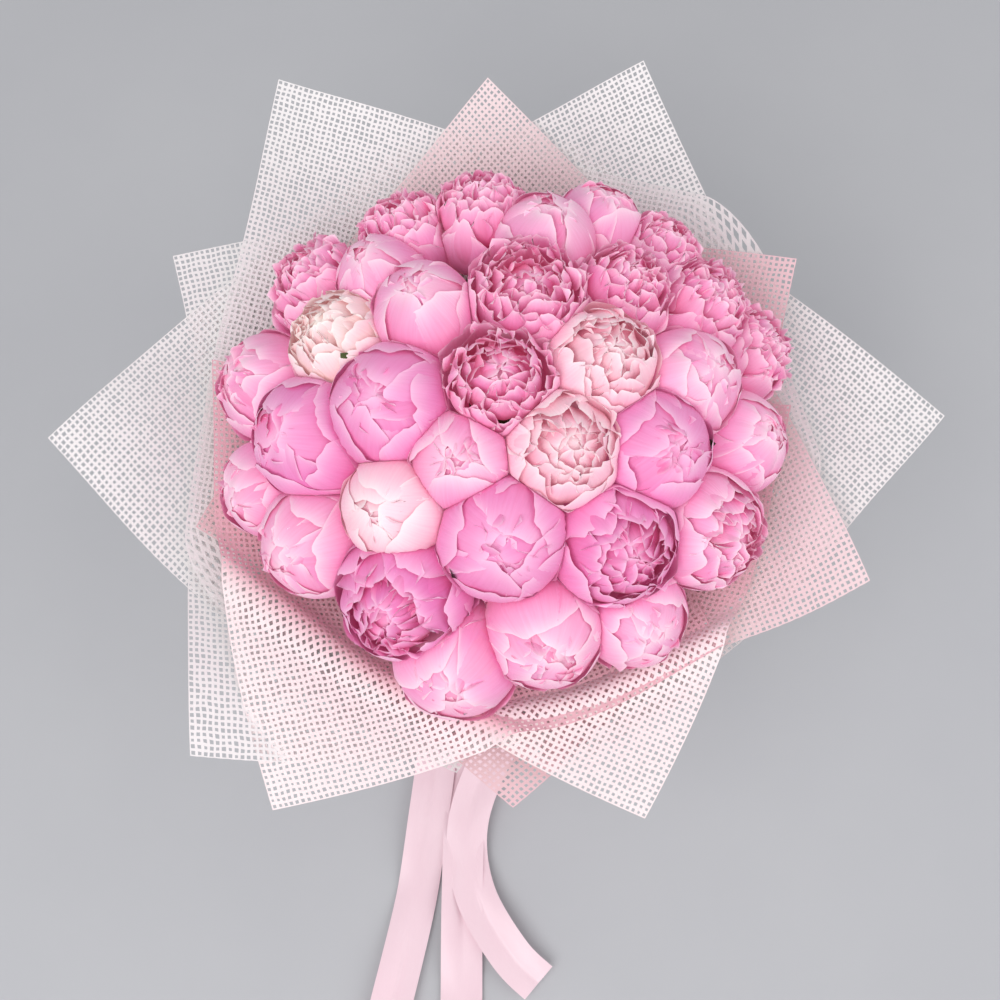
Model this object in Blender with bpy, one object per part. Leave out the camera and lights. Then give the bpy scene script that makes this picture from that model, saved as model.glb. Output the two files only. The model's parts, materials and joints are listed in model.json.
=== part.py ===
"""A wrapped, spiral-tied bunch of double peonies standing on its own cut stems.

Metres, +Z up. The origin is the cut end of the centre stem; -Y is the front,
where the ribbon is knotted.
"""

import math

import bmesh
import bpy
from mathutils import Matrix, Vector

GAP = 0.0003

# The dome of flower heads.
DOME_RADIUS = 0.226
DOME_ABOVE_TIE = 0.056
DOME_FORWARD = 0.005
HEAD_SCALE = 0.99
HEAD_PRESS = 0.73
HEAD_NESTLE = 0.95
HEAD_TIP_FLAT = 0.04
OUTER_TILT = 60.0
HEAD_TO_WRAP = 0.003
HEAD_TO_STEM = 0.0012
SPREAD_PASSES = 40
SPREAD_PUSH = 0.25
NEIGHBOUR_REACH = 2.5
FACING = 0.05
WRAP_PRESS_STEPS = 50
WRAP_PRESS_SHARE = 0.97
STEEPEST_RISE = 0.999
HEAD_COLUMNS = 10
HEAD_ROWS = 6

# The spiral of stems.
STEM_DIAMETER = 0.0086
STEM_SIDES = 6
STEM_OVERLAP = 0.0010
STEM_UPPER_STEPS = 5
STEM_LOWER_STEPS = 3
HEAD_PULL = 0.3
WAIST_PULL = 0.8
UPRIGHT_SIDE = 0.02
CORE_HEIGHT = 0.05
CORE_SIDES = 18
CRUMB_VOLUME = 1e-9
TIE_HEIGHT = 0.18
FOOT_RADIUS = 0.095
INNER_FOOT_SHARE = 0.30
MIDDLE_FOOT_SHARE = 0.62
WAIST_LEAN = 36.0
CENTRE_RING = 5
MIDDLE_RING = 9

# The string round the stems.
STRING_THICKNESS = 0.0022
STRING_HEIGHT = 0.014
STRING_TO_STEMS = 0.0009
RING_SIDES = 24
RING_BULGE = 0.3

# The wrapping sheets.
WAIST_HEIGHT = 0.032
BEND_REACH = 0.0005
GATHER_ROOM = 0.003
SHEET_THICKNESS = 0.0006
LAYER_STEP = 0.0012
LAYER_SPREAD = 0.0066
FLARE_BACK = 31.0
FLARE_FRONT = 46.0
FLARE_CURL = 85.0
SKIRT_LENGTH = 0.085
SKIRT_FLARE = 29.0
SKIRT_TAPER = 0.6
GATHER = 1.15
COLUMN_TURN = 10.0
SHEET_ROWS = 7

# The ribbon.
RIBBON_WIDTH = 0.038
RIBBON_THICKNESS = 0.0008
RIBBON_ACROSS = (-0.5, 0.0, 0.5)
PATH_STEPS = 2
BAND_HEIGHT = 0.016
BAND_TO_WRAP = 0.0006
BAND_LAYERS = 2.5
KNOT_SIZE = 0.026
KNOT_SHARES = (1.1, 0.72, 0.9)
KNOT_COLUMNS = 12
KNOT_ROWS = 8
LOOP_START = 0.58
TAIL_START = 0.47
TAIL_FALL = 0.16658
SURFACE_GAP = 0.0012

LEAF_LENGTH = 0.085
LEAF_WIDTH = 0.03
LEAF_THICKNESS = 0.0008
LEAF_TO_WRAP = 0.0012
LEAF_TIP = 0.12
LEAF_SHAPE = 0.8
LEAF_ROWS = 6
LEAF_ACROSS = (-1, -0.5, 0, 0.5, 1)

PETAL_PINK = (0.90, 0.42, 0.62)
STEM_GREEN = (0.20, 0.33, 0.12)
LEAF_GREEN = (0.10, 0.22, 0.07)
STRING_TAN = (0.70, 0.62, 0.48)
MESH_PINK = (0.92, 0.74, 0.78)
MESH_WHITE = (0.90, 0.88, 0.89)
RIBBON_PINK = (0.93, 0.78, 0.82)
SHARP_ANGLE = 50.0

# Each head's tilt from the upright, its turn from +X and its width.
HEADS = [
    (8, -98, 0.080),
    (9, 66, 0.082),
    (17, -10, 0.080),
    (17, 152, 0.072),
    (21, -63, 0.082),
    (22, -112, 0.072),
    (23, -152, 0.086),
    (25, 72, 0.074),
    (25, 30, 0.068),
    (30, 143, 0.066),
    (31, 170, 0.074),
    (31, 100, 0.072),
    (32, -33, 0.082),
    (33, 126, 0.066),
    (34, -90, 0.088),
    (34, -125, 0.076),
    (35, -6, 0.076),
    (36, 58, 0.068),
    (40, -160, 0.086),
    (40, 41, 0.064),
    (41, -60, 0.088),
    (42, 22, 0.074),
    (42, 152, 0.074),
    (50, -114, 0.092),
    (51, -14, 0.072),
    (51, 179, 0.076),
    (52, -37, 0.084),
    (52, -140, 0.080),
    (53, 11, 0.070),
    (54, -82, 0.082),
    (57, -158, 0.068),
    (57, -62, 0.074),
    (61, -100, 0.086),
]

# Each sheet's name, the turn and reach of its point and its side, from the innermost out.
SHEETS = [
    ("wrap_front_left", -119, 0.366, 0.33),
    ("wrap_front_right", -72, 0.342, 0.32),
    ("wrap_pink_right", 26, 0.300, 0.30),
    ("wrap_pink_back", 93, 0.325, 0.33),
    ("wrap_pink_left", 202, 0.275, 0.31),
    ("wrap_low_right", -28, 0.327, 0.32),
    ("wrap_rear_left", 125, 0.370, 0.40),
    ("wrap_rear_right", 68, 0.355, 0.37),
    ("wrap_front_low", -89, 0.310, 0.29),
    ("wrap_low_left", -130, 0.365, 0.35),
    ("wrap_left", 186, 0.375, 0.37),
    ("wrap_right", -2, 0.362, 0.37),
    ("wrap_back_left", 155, 0.325, 0.33),
]

# Each leaf's turn and where its base starts along the wrap.
LEAVES = [
    ("leaf_left", 158, 0.095),
    ("leaf_right", 8, 0.095),
    ("leaf_front", -92, 0.100),
    ("leaf_rear", 84, 0.090),
]

# A loop's route: sideways, behind the knot's middle, above the tie and share of the width.
LOOP = [
    (0.0, -0.003, -0.001, 0.3),
    (0.032, -0.006, -0.008, 0.5),
    (0.060, -0.006, -0.026, 0.6),
    (0.074, -0.001, -0.040, 0.6),
    (0.062, 0.007, -0.036, 0.6),
    (0.036, 0.006, -0.020, 0.5),
    (0.0, 0.003, -0.006, 0.3),
]

# Each tail's route: sideways, forward of the knot for TAIL_FALL, share of the fall, share of the width.
TAILS = [
    (
        "ribbon_tail_left",
        [
            (-0.009, 0.001, 0.0, 0.2),
            (-0.021, 0.008, 0.25, 0.6),
            (-0.037, 0.026, 0.62, 0.9),
            (-0.050, 0.060, 0.93, 0.9),
            (-0.060, 0.110, 1.0, 0.9),
            (-0.068, 0.175, 1.0, 0.9),
            (-0.080, 0.260, 1.0, 0.9),
            (-0.100, 0.350, 1.0, 0.9),
            (-0.114, 0.400, 1.0, 0.9),
        ],
    ),
    (
        "ribbon_tail_right",
        [
            (0.001, 0.001, 0.0, 0.2),
            (0.004, 0.010, 0.25, 0.4),
            (-0.001, 0.034, 0.60, 0.7),
            (-0.014, 0.074, 0.90, 0.9),
            (-0.028, 0.125, 0.98, 0.9),
            (-0.036, 0.185, 0.985, 0.9),
            (-0.038, 0.260, 0.99, 0.9),
            (-0.038, 0.350, 1.0, 0.9),
            (-0.038, 0.405, 1.0, 0.9),
        ],
    ),
    (
        "ribbon_tail_short",
        [
            (0.011, 0.001, 0.0, 0.2),
            (0.022, 0.014, 0.25, 0.5),
            (0.026, 0.042, 0.56, 0.7),
            (0.010, 0.092, 0.84, 0.9),
            (-0.018, 0.145, 0.94, 0.9),
            (-0.034, 0.200, 0.955, 0.9),
            (-0.026, 0.255, 0.965, 0.9),
            (0.004, 0.305, 0.98, 0.9),
            (0.030, 0.330, 0.99, 0.9),
        ],
    ),
]


def clear_scene():
    for old in list(bpy.data.objects):
        bpy.data.objects.remove(old)


def material(name, colour, roughness):
    made = bpy.data.materials.new(name)
    made.use_nodes = True
    shader = made.node_tree.nodes["Principled BSDF"]
    shader.inputs["Base Color"].default_value = (*colour, 1.0)
    shader.inputs["Roughness"].default_value = roughness
    shader.inputs["Metallic"].default_value = 0.0
    return made


def finish_object(name, bm, finish):
    bmesh.ops.recalc_face_normals(bm, faces=bm.faces)
    mesh = bpy.data.meshes.new(name)
    bm.to_mesh(mesh)
    bm.free()
    mesh.shade_smooth()
    mesh.set_sharp_from_angle(angle=math.radians(SHARP_ANGLE))
    made = bpy.data.objects.new(name, mesh)
    bpy.context.scene.collection.objects.link(made)
    made.data.materials.append(finish)
    return made


def polar(radius, turn, height):
    """A point at a radius and a turn (radians) round the axis."""
    return Vector((radius * math.cos(turn), radius * math.sin(turn), height))


# ---------------------------------------------------------------- flower heads


def head_axes():
    """The direction of every head from the dome's centre."""
    axes = []
    for tilt, turn, _ in HEADS:
        lean = math.radians(tilt) * HEAD_NESTLE
        axes.append(polar(math.sin(lean), math.radians(turn), math.cos(lean)))
    return axes


def push_apart(axes, radii, i, j):
    """Two heads that are too close each give way a little."""
    apart = (axes[i] - axes[j]) * DOME_RADIUS
    short = (radii[i] + radii[j]) * HEAD_PRESS - apart.length
    if short > 0:
        push = apart.normalized() * (short * SPREAD_PUSH / DOME_RADIUS)
        axes[i] = (axes[i] + push).normalized()
        axes[j] = (axes[j] - push).normalized()


def spread_heads(axes, radii):
    """Heads push each other along the dome until each has most of its room."""
    for _ in range(SPREAD_PASSES):
        for i in range(len(axes)):
            for j in range(i):
                push_apart(axes, radii, i, j)
        axes = [hold_in(axis) for axis in axes]
    return axes


def hold_in(axis):
    """The wrap keeps the outermost heads from leaning further out."""
    limit = math.radians(OUTER_TILT)
    if axis.z >= math.cos(limit):
        return axis
    return polar(math.sin(limit), math.atan2(axis.y, axis.x), math.cos(limit))


def head_reach(out, radius):
    """How far a free head reaches, a little fuller below than at its tip."""
    return radius * (1.0 - HEAD_TIP_FLAT * out.z)


def head_base(centre, axis, radius):
    """Where a head's stem ends, just clear of the head."""
    return centre - axis * (head_reach(Vector((0, 0, -1)), radius) + HEAD_TO_STEM)


def press_flat(point_reach, direction, centre, radius, others):
    """Neighbouring heads press flat where they meet."""
    reach = point_reach
    for other_centre, other_radius in others:
        between = other_centre - centre
        distance = between.length
        lean = direction.dot(between) / distance
        if lean > FACING:
            plane = (distance ** 2 + radius ** 2 - other_radius ** 2) / (2 * distance)
            reach = min(reach, (plane - GAP / 2) / lean)
    return reach


def inside_wrap(point):
    """Whether a head's point is clear of the innermost sheet."""
    turn = math.atan2(point.y, point.x)
    first = math.radians(flare_angle(turn))
    curl = math.radians(FLARE_CURL)
    above = point.z - TIE_HEIGHT - WAIST_HEIGHT / 2
    rise = math.sin(first) + above * curl
    if rise >= STEEPEST_RISE:
        return True
    lean = math.asin(rise)
    radius = wrap_start() + (math.cos(first) - math.cos(lean)) / curl
    return (radius - math.hypot(point.x, point.y)) * math.cos(lean) > HEAD_TO_WRAP


def build_head(name, centre, axis, radius, others, finish):
    frame = axis.to_track_quat("Z", "X").to_matrix()
    bm = bmesh.new()
    bmesh.ops.create_uvsphere(bm, u_segments=HEAD_COLUMNS, v_segments=HEAD_ROWS, radius=1.0)
    for vert in bm.verts:
        local = vert.co.normalized()
        direction = frame @ local
        reach = head_reach(local, radius)
        reach = press_flat(reach, direction, centre, radius, others)
        for _ in range(WRAP_PRESS_STEPS):
            if not inside_wrap(centre + direction * reach):
                reach *= WRAP_PRESS_SHARE
        vert.co = centre + direction * reach
    bmesh.ops.triangulate(bm, faces=bm.faces)
    return finish_object(name, bm, finish)


def build_heads(axes, radii):
    centre = Vector((0, -DOME_FORWARD, TIE_HEIGHT + DOME_ABOVE_TIE))
    centres = [centre + axis * DOME_RADIUS for axis in axes]
    near = NEIGHBOUR_REACH * max(radii)
    for index, middle in enumerate(centres):
        others = []
        for k, other in enumerate(centres):
            if k != index and (other - middle).length < near:
                others.append((other, radii[k]))
        name = f"peony_{index + 1:02d}"
        finish = material(name, PETAL_PINK, 0.6)
        build_head(name, middle, axes[index], radii[index], others, finish)
    return centres


# ----------------------------------------------------------------------- stems


def ring_radii():
    """Radius at the tie of the centre, middle and outer rings of stems."""
    first = STEM_DIAMETER - STEM_OVERLAP
    second = first + STEM_DIAMETER - STEM_OVERLAP
    third = second + STEM_DIAMETER - STEM_OVERLAP
    return first, second, third


def bundle_radius():
    """Outside of the bundle over the height of the string."""
    outer = ring_radii()[2]
    run = STRING_HEIGHT / 2 * math.tan(math.radians(WAIST_LEAN))
    slant = math.cos(math.radians(WAIST_LEAN))
    return math.hypot(outer, run) + STEM_DIAMETER / 2 / slant


def hermite(start, start_way, end, end_way, share):
    a = 2 * share ** 3 - 3 * share ** 2 + 1
    b = share ** 3 - 2 * share ** 2 + share
    c = -2 * share ** 3 + 3 * share ** 2
    d = share ** 3 - share ** 2
    return start * a + start_way * b + end * c + end_way * d


def stem_path(base, axis, waist, waist_way, foot):
    """Head base, bend at the tie, cut end; the bend follows the spiral."""
    upper = (waist - base).length
    lower = (foot - waist).length
    points = []
    leave = -axis * upper * HEAD_PULL
    arrive = waist_way * upper * WAIST_PULL
    for step in range(STEM_UPPER_STEPS):
        points.append(hermite(base, leave, waist, arrive, step / STEM_UPPER_STEPS))
    down = (foot - waist).normalized()
    for step in range(STEM_LOWER_STEPS + 1):
        share = step / STEM_LOWER_STEPS
        points.append(hermite(waist, waist_way * lower, foot, down * lower, share))
    return points


def path_way(points, index):
    """The direction of a path at one of its points."""
    before = points[max(index - 1, 0)]
    after = points[min(index + 1, len(points) - 1)]
    return (after - before).normalized()


def tube_ring(point, way, radius):
    side = way.cross(Vector((0, 0, 1)))
    if side.length < UPRIGHT_SIDE:
        side = Vector((1, 0, 0))
    side.normalize()
    other = way.cross(side).normalized()
    ring = []
    for k in range(STEM_SIDES):
        turn = 2 * math.pi * k / STEM_SIDES
        ring.append(point + (side * math.cos(turn) + other * math.sin(turn)) * radius)
    return ring


def tube(bm, points, radius):
    """A closed tube whose last end is cut level."""
    rings = []
    for index, point in enumerate(points):
        way = path_way(points, index)
        ring = tube_ring(point, way, radius)
        if index == len(points) - 1:
            ring = [spot - way * ((spot.z - point.z) / way.z) for spot in ring]
        rings.append([bm.verts.new(spot) for spot in ring])
    for low, high in zip(rings, rings[1:]):
        for k in range(STEM_SIDES):
            nxt = (k + 1) % STEM_SIDES
            bm.faces.new((low[k], low[nxt], high[nxt], high[k]))
    bm.faces.new(rings[0])
    bm.faces.new(rings[-1])


def shell_of(face, waiting):
    """Every face joined to a face across plain edges, taken from those still waiting."""
    waiting.discard(face)
    shell = [face]
    for reached in shell:
        for edge in reached.edges:
            beyond = edge.link_faces if len(edge.link_faces) == 2 else ()
            for other in beyond:
                if other in waiting:
                    waiting.discard(other)
                    shell.append(other)
    return shell


def shell_volume(shell):
    """Volume inside a closed shell, below zero where it bounds a pocket."""
    return sum(face.normal.dot(face.calc_center_median()) * face.calc_area() / 3 for face in shell)


def fill_pockets(mesh):
    """A pocket sealed among the pressed stems is solid, and a crumb of their union is no body."""
    bm = bmesh.new()
    bm.from_mesh(mesh)
    bmesh.ops.triangulate(bm, faces=bm.faces)
    waiting = set(bm.faces)
    pockets = []
    for face in list(bm.faces):
        if face in waiting:
            shell = shell_of(face, waiting)
            if shell_volume(shell) < CRUMB_VOLUME:
                pockets += shell
    bmesh.ops.delete(bm, geom=pockets, context="FACES")
    bm.to_mesh(mesh)
    bm.free()


def unite(name, pieces, finish):
    """Stems pressed together at the tie become one body."""
    first = pieces[0]
    rest = bpy.data.collections.new(name + "_pressed")
    for piece in pieces[1:]:
        rest.objects.link(piece)
    union = first.modifiers.new("union", "BOOLEAN")
    union.operation = "UNION"
    union.solver = "EXACT"
    union.operand_type = "COLLECTION"
    union.collection = rest
    pressed = bpy.data.meshes.new_from_object(
        first.evaluated_get(bpy.context.evaluated_depsgraph_get())
    )
    fill_pockets(pressed)
    for piece in pieces:
        bpy.data.objects.remove(piece)
    made = bpy.data.objects.new(name, pressed)
    bpy.context.scene.collection.objects.link(made)
    made.data.materials.clear()
    made.data.materials.append(finish)


def stem_object(name, points, finish):
    bm = bmesh.new()
    tube(bm, points, STEM_DIAMETER / 2)
    return finish_object(name, bm, finish)


def pressed_core(finish):
    """The stems' sides are pressed together at the tie, with no room left between them."""
    radius = ring_radii()[2]
    profile = [(0.0, -CORE_HEIGHT), (radius, -STRING_HEIGHT), (radius, STRING_HEIGHT), (0.0, CORE_HEIGHT)]
    bm = bmesh.new()
    edges = []
    verts = [bm.verts.new((r, 0, TIE_HEIGHT + z)) for r, z in profile]
    for low, high in zip(verts, verts[1:]):
        edges.append(bm.edges.new((low, high)))
    whole = {"cent": (0, 0, 0), "axis": (0, 0, 1), "angle": 2 * math.pi, "steps": CORE_SIDES}
    bmesh.ops.spin(bm, geom=verts + edges, **whole)
    bmesh.ops.remove_doubles(bm, verts=bm.verts, dist=1e-5)
    return finish_object("stem_core", bm, finish)


def ring_stems(name, members, radius, foot_radius, centres, axes, radii, finish):
    """One ring of stems, each in its own slot round the tie, in order of turn."""
    members = sorted(members, key=lambda i: math.atan2(axes[i].y, axes[i].x))
    turns = [math.atan2(axes[i].y, axes[i].x) for i in members]
    count = len(members)
    slot = 2 * math.pi / count
    start = sum(turn - k * slot for k, turn in enumerate(turns)) / count
    lean = math.radians(WAIST_LEAN)
    pieces = []
    for k, index in enumerate(members):
        base = head_base(centres[index], axes[index], radii[index])
        sweep = math.pi / 2 - radius / math.hypot(base.x, base.y)
        slot_turn = start + k * slot - sweep
        waist = polar(radius, slot_turn, TIE_HEIGHT)
        tangent = polar(1.0, slot_turn - math.pi / 2, 0.0)
        way = tangent * math.sin(lean) - Vector((0, 0, math.cos(lean)))
        run = math.sqrt(foot_radius ** 2 - radius ** 2)
        foot = waist + tangent * run
        foot.z = 0.0
        points = stem_path(base, axes[index], waist, way, foot)
        pieces.append(stem_object(f"{name}_{k}", points, finish))
    return pieces


def build_stems(centres, axes, radii):
    finish = material("stem", STEM_GREEN, 0.55)
    order = sorted(range(len(axes)), key=lambda i: -axes[i].z)
    first, second, third = ring_radii()
    middle_end = 1 + CENTRE_RING + MIDDLE_RING
    heart = order[0]
    base = head_base(centres[heart], axes[heart], radii[heart])
    down = Vector((0, 0, -1))
    straight = stem_path(base, axes[heart], Vector((0, 0, TIE_HEIGHT)), down, Vector((0, 0, 0)))
    stems = [pressed_core(finish), stem_object("stem_heart", straight, finish)]
    near_foot = first + (FOOT_RADIUS - third) * INNER_FOOT_SHARE
    mid_foot = second + (FOOT_RADIUS - third) * MIDDLE_FOOT_SHARE
    stems += ring_stems(
        "stem_c", order[1 : 1 + CENTRE_RING], first, near_foot, centres, axes, radii, finish
    )
    stems += ring_stems(
        "stem_m", order[1 + CENTRE_RING : middle_end], second, mid_foot, centres, axes, radii, finish
    )
    stems += ring_stems("stem_o", order[middle_end:], third, FOOT_RADIUS, centres, axes, radii, finish)
    unite("stems", stems, finish)


# ------------------------------------------------------------- string and band


def ring_object(name, inner, outer, height, middle, finish):
    """A closed ring round the axis with a rounded outside."""
    half = height / 2
    bulge = (outer - inner) * RING_BULGE
    profile = [(inner, -half), (outer - bulge, -half), (outer, 0), (outer - bulge, half), (inner, half)]
    bm = bmesh.new()
    rings = []
    for k in range(RING_SIDES):
        turn = 2 * math.pi * k / RING_SIDES
        rings.append([bm.verts.new(polar(r, turn, middle + z)) for r, z in profile])
    for k in range(RING_SIDES):
        nxt = rings[(k + 1) % RING_SIDES]
        for i in range(len(profile)):
            j = (i + 1) % len(profile)
            bm.faces.new((rings[k][i], nxt[i], nxt[j], rings[k][j]))
    return finish_object(name, bm, finish)


# ------------------------------------------------------------- wrapping sheets


def wrap_start():
    """Radius of the innermost sheet at the tie."""
    return bundle_radius() + STRING_TO_STEMS + STRING_THICKNESS + GATHER_ROOM


def flare_angle(turn):
    """Lean of the wrap just above the tie; the dome sits further out at the front."""
    front = (1 - math.sin(turn)) / 2
    return FLARE_BACK + (FLARE_FRONT - FLARE_BACK) * front


def wrap_profile(turn, slant):
    """Radius, height and lean of the wrap's inside at a turn and a distance from the tie."""
    half = WAIST_HEIGHT / 2
    start = wrap_start()
    if slant < -half:
        lean = -math.radians(SKIRT_FLARE)
        below = -half - slant
        return start - below * math.sin(lean), TIE_HEIGHT - half - below * math.cos(lean), lean
    if slant <= half:
        return start, TIE_HEIGHT + slant, 0.0
    first = math.radians(flare_angle(turn))
    curl = math.radians(FLARE_CURL)
    run = slant - half
    lean = first + curl * run
    radius = start + (math.cos(first) - math.cos(lean)) / curl
    height = TIE_HEIGHT + half + (math.sin(lean) - math.sin(first)) / curl
    return radius, height, lean


def on_wrap(turn, slant, offset):
    """A point on the wrap, moved outwards by an offset, with a mitre at the two bends by the tie."""
    radius, height, lean = wrap_profile(turn, slant)
    half = WAIST_HEIGHT / 2
    if abs(slant - half) < BEND_REACH:
        lean = math.radians(flare_angle(turn)) / 2
        offset = offset / math.cos(lean)
    if abs(slant + half) < BEND_REACH:
        lean = -math.radians(SKIRT_FLARE) / 2
        offset = offset / math.cos(lean)
    return polar(radius + offset * math.cos(lean), turn, height - offset * math.sin(lean))


def layer_offset(layer, slant):
    return layer * (LAYER_STEP + LAYER_SPREAD * abs(slant))


def sheet_columns(reach, side):
    """Angles across a square sheet, from one side corner to the other."""
    half_diagonal = side / math.sqrt(2)
    corner = math.atan2(half_diagonal, reach - half_diagonal)
    count = math.ceil(corner * GATHER / math.radians(COLUMN_TURN))
    return [corner * k / count for k in range(-count, count + 1)]


def sheet_edge(angle, reach):
    """Distance from the tie to the sheet's upper edge, a square's corner seen from the tie."""
    return reach / (math.cos(angle) + math.sin(abs(angle)))


def thin_solid(name, rows, finish):
    """A closed sheet from paired rows of inner and outer points."""
    bm = bmesh.new()
    inner = [[bm.verts.new(pair[0]) for pair in row] for row in rows]
    outer = [[bm.verts.new(pair[1]) for pair in row] for row in rows]
    for grid in (inner, outer):
        for low, high in zip(grid, grid[1:]):
            for k in range(len(low) - 1):
                bm.faces.new((low[k], low[k + 1], high[k + 1], high[k]))
    border = []
    last = len(rows) - 1
    across = len(rows[0]) - 1
    border += [(0, k) for k in range(across)]
    border += [(i, across) for i in range(last)]
    border += [(last, k) for k in range(across, 0, -1)]
    border += [(i, 0) for i in range(last, 0, -1)]
    for (a, b), (c, d) in zip(border, border[1:] + border[:1]):
        bm.faces.new((inner[a][b], inner[c][d], outer[c][d], outer[a][b]))
    bmesh.ops.triangulate(bm, faces=bm.faces)
    return finish_object(name, bm, finish)


def sheet_slant(row, angle, widest, reach):
    """Distance from the tie of a sheet's row: two below the tie, the others from it to the edge."""
    half = WAIST_HEIGHT / 2
    if row == -2:
        return -half - SKIRT_LENGTH * (1 - SKIRT_TAPER * abs(angle) / widest)
    if row == -1:
        return -half
    return half + (sheet_edge(angle, reach) - half) * row / SHEET_ROWS


def build_sheet(name, turn, reach, side, layer):
    pink = "pink" in name or "front" in name
    finish = material(name, MESH_PINK if pink else MESH_WHITE, 0.7)
    columns = sheet_columns(reach, side)
    rows = []
    for row in range(-2, SHEET_ROWS + 1):
        line = []
        for angle in columns:
            spot = math.radians(turn) + angle * GATHER
            slant = sheet_slant(row, angle, columns[-1], reach)
            offset = layer_offset(layer, slant)
            line.append((on_wrap(spot, slant, offset), on_wrap(spot, slant, offset + SHEET_THICKNESS)))
        rows.append(line)
    thin_solid(name, rows, finish)


def build_leaf(name, turn, start):
    """A leaf blade on its stem's outside, just inside the wrap."""
    finish = material(name, LEAF_GREEN, 0.5)
    inside = -LEAF_TO_WRAP - LEAF_THICKNESS
    rows = []
    for row in range(LEAF_ROWS + 1):
        share = row / LEAF_ROWS
        slant = start + LEAF_LENGTH * share
        fullness = math.sin(math.pi * share ** LEAF_SHAPE)
        width = LEAF_WIDTH / 2 * (LEAF_TIP + (1 - LEAF_TIP) * fullness)
        line = []
        for across in LEAF_ACROSS:
            radius = wrap_profile(math.radians(turn), slant)[0]
            spot = math.radians(turn) + across * width / radius
            line.append((on_wrap(spot, slant, inside), on_wrap(spot, slant, inside + LEAF_THICKNESS)))
        rows.append(line)
    thin_solid(name, rows, finish)


# ---------------------------------------------------------------------- ribbon


def smooth_path(points):
    """A Catmull-Rom curve through the points."""
    made = []
    ends = [points[0] * 2 - points[1]] + points + [points[-1] * 2 - points[-2]]
    for i in range(1, len(ends) - 2):
        for k in range(PATH_STEPS):
            share = k / PATH_STEPS
            before = (ends[i + 1] - ends[i - 1]) / 2
            after = (ends[i + 2] - ends[i]) / 2
            made.append(hermite(ends[i], before, ends[i + 1], after, share))
    made.append(points[-1])
    return made


def strip(name, points, across, widths, finish):
    """A flat ribbon along a path, with its width direction and its width at every point."""
    path = smooth_path([Vector(p) for p in points])
    spread = smooth_path([Vector((width, 0, 0)) for width in widths])
    rows = []
    for index, point in enumerate(path):
        way = path_way(path, index)
        side = across - way * across.dot(way)
        side.normalize()
        thick = way.cross(side).normalized() * RIBBON_THICKNESS
        line = []
        for share in RIBBON_ACROSS:
            spot = point + side * spread[index].x * share
            line.append((spot, spot + thick))
        rows.append(line)
    return thin_solid(name, rows, finish)


def build_ribbon():
    finish = material("ribbon", RIBBON_PINK, 0.4)
    wrapped = wrap_start() + layer_offset(len(SHEETS), WAIST_HEIGHT / 2)
    inner = (wrapped + BAND_TO_WRAP) / math.cos(math.pi / RING_SIDES)
    outer = inner + BAND_LAYERS * RIBBON_THICKNESS
    ring_object("ribbon_band", inner, outer, BAND_HEIGHT, TIE_HEIGHT, finish)
    knot_depth = KNOT_SIZE * KNOT_SHARES[1] / 2
    knot_y = -(outer + GAP + knot_depth)
    build_knot(Vector((0, knot_y, TIE_HEIGHT)), finish)
    build_loop("ribbon_loop_left", -1, knot_y, finish)
    build_loop("ribbon_loop_right", 1, knot_y, finish)
    face = knot_y - knot_depth - GAP
    for name, route in TAILS:
        build_tail(name, route, face, finish)


def build_knot(centre, finish):
    bm = bmesh.new()
    bmesh.ops.create_uvsphere(bm, u_segments=KNOT_COLUMNS, v_segments=KNOT_ROWS, radius=0.5)
    stretch = Matrix.Diagonal([KNOT_SIZE * share for share in KNOT_SHARES] + [1.0])
    bmesh.ops.transform(bm, matrix=Matrix.Translation(centre) @ stretch, verts=bm.verts)
    finish_object("ribbon_knot", bm, finish)


def build_loop(name, way, knot_y, finish):
    """A soft bow loop out from the knot and back."""
    points = []
    widths = []
    for out, behind, above, spread in LOOP:
        sideways = way * max(out, KNOT_SIZE * LOOP_START)
        points.append((sideways, knot_y + behind, TIE_HEIGHT + above))
        widths.append(RIBBON_WIDTH * spread)
    strip(name, points, Vector((0, 0.2, 1.0)), widths, finish)


def build_tail(name, route, face, finish):
    """A tail, gathered at the knot, that falls and then lies along the surface to the front."""
    top = TIE_HEIGHT - KNOT_SIZE * TAIL_START
    drop = top - SURFACE_GAP
    longer = drop / TAIL_FALL
    points = []
    widths = []
    for x, forward, fallen, spread in route:
        points.append((x, face - forward * longer, top - drop * fallen))
        widths.append(RIBBON_WIDTH * spread)
    strip(name, points, Vector((1, 0, 0)), widths, finish)


def main():
    clear_scene()
    radii = [width / 2 * HEAD_SCALE for _, _, width in HEADS]
    axes = spread_heads(head_axes(), radii)
    centres = build_heads(axes, radii)
    build_stems(centres, axes, radii)
    string = material("string", STRING_TAN, 0.9)
    inner = bundle_radius() + STRING_TO_STEMS
    ring_object("string", inner, inner + STRING_THICKNESS, STRING_HEIGHT, TIE_HEIGHT, string)
    for layer, sheet in enumerate(SHEETS):
        build_sheet(*sheet, layer)
    for leaf in LEAVES:
        build_leaf(*leaf)
    build_ribbon()


main()
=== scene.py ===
import json
import math
import random

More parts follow.
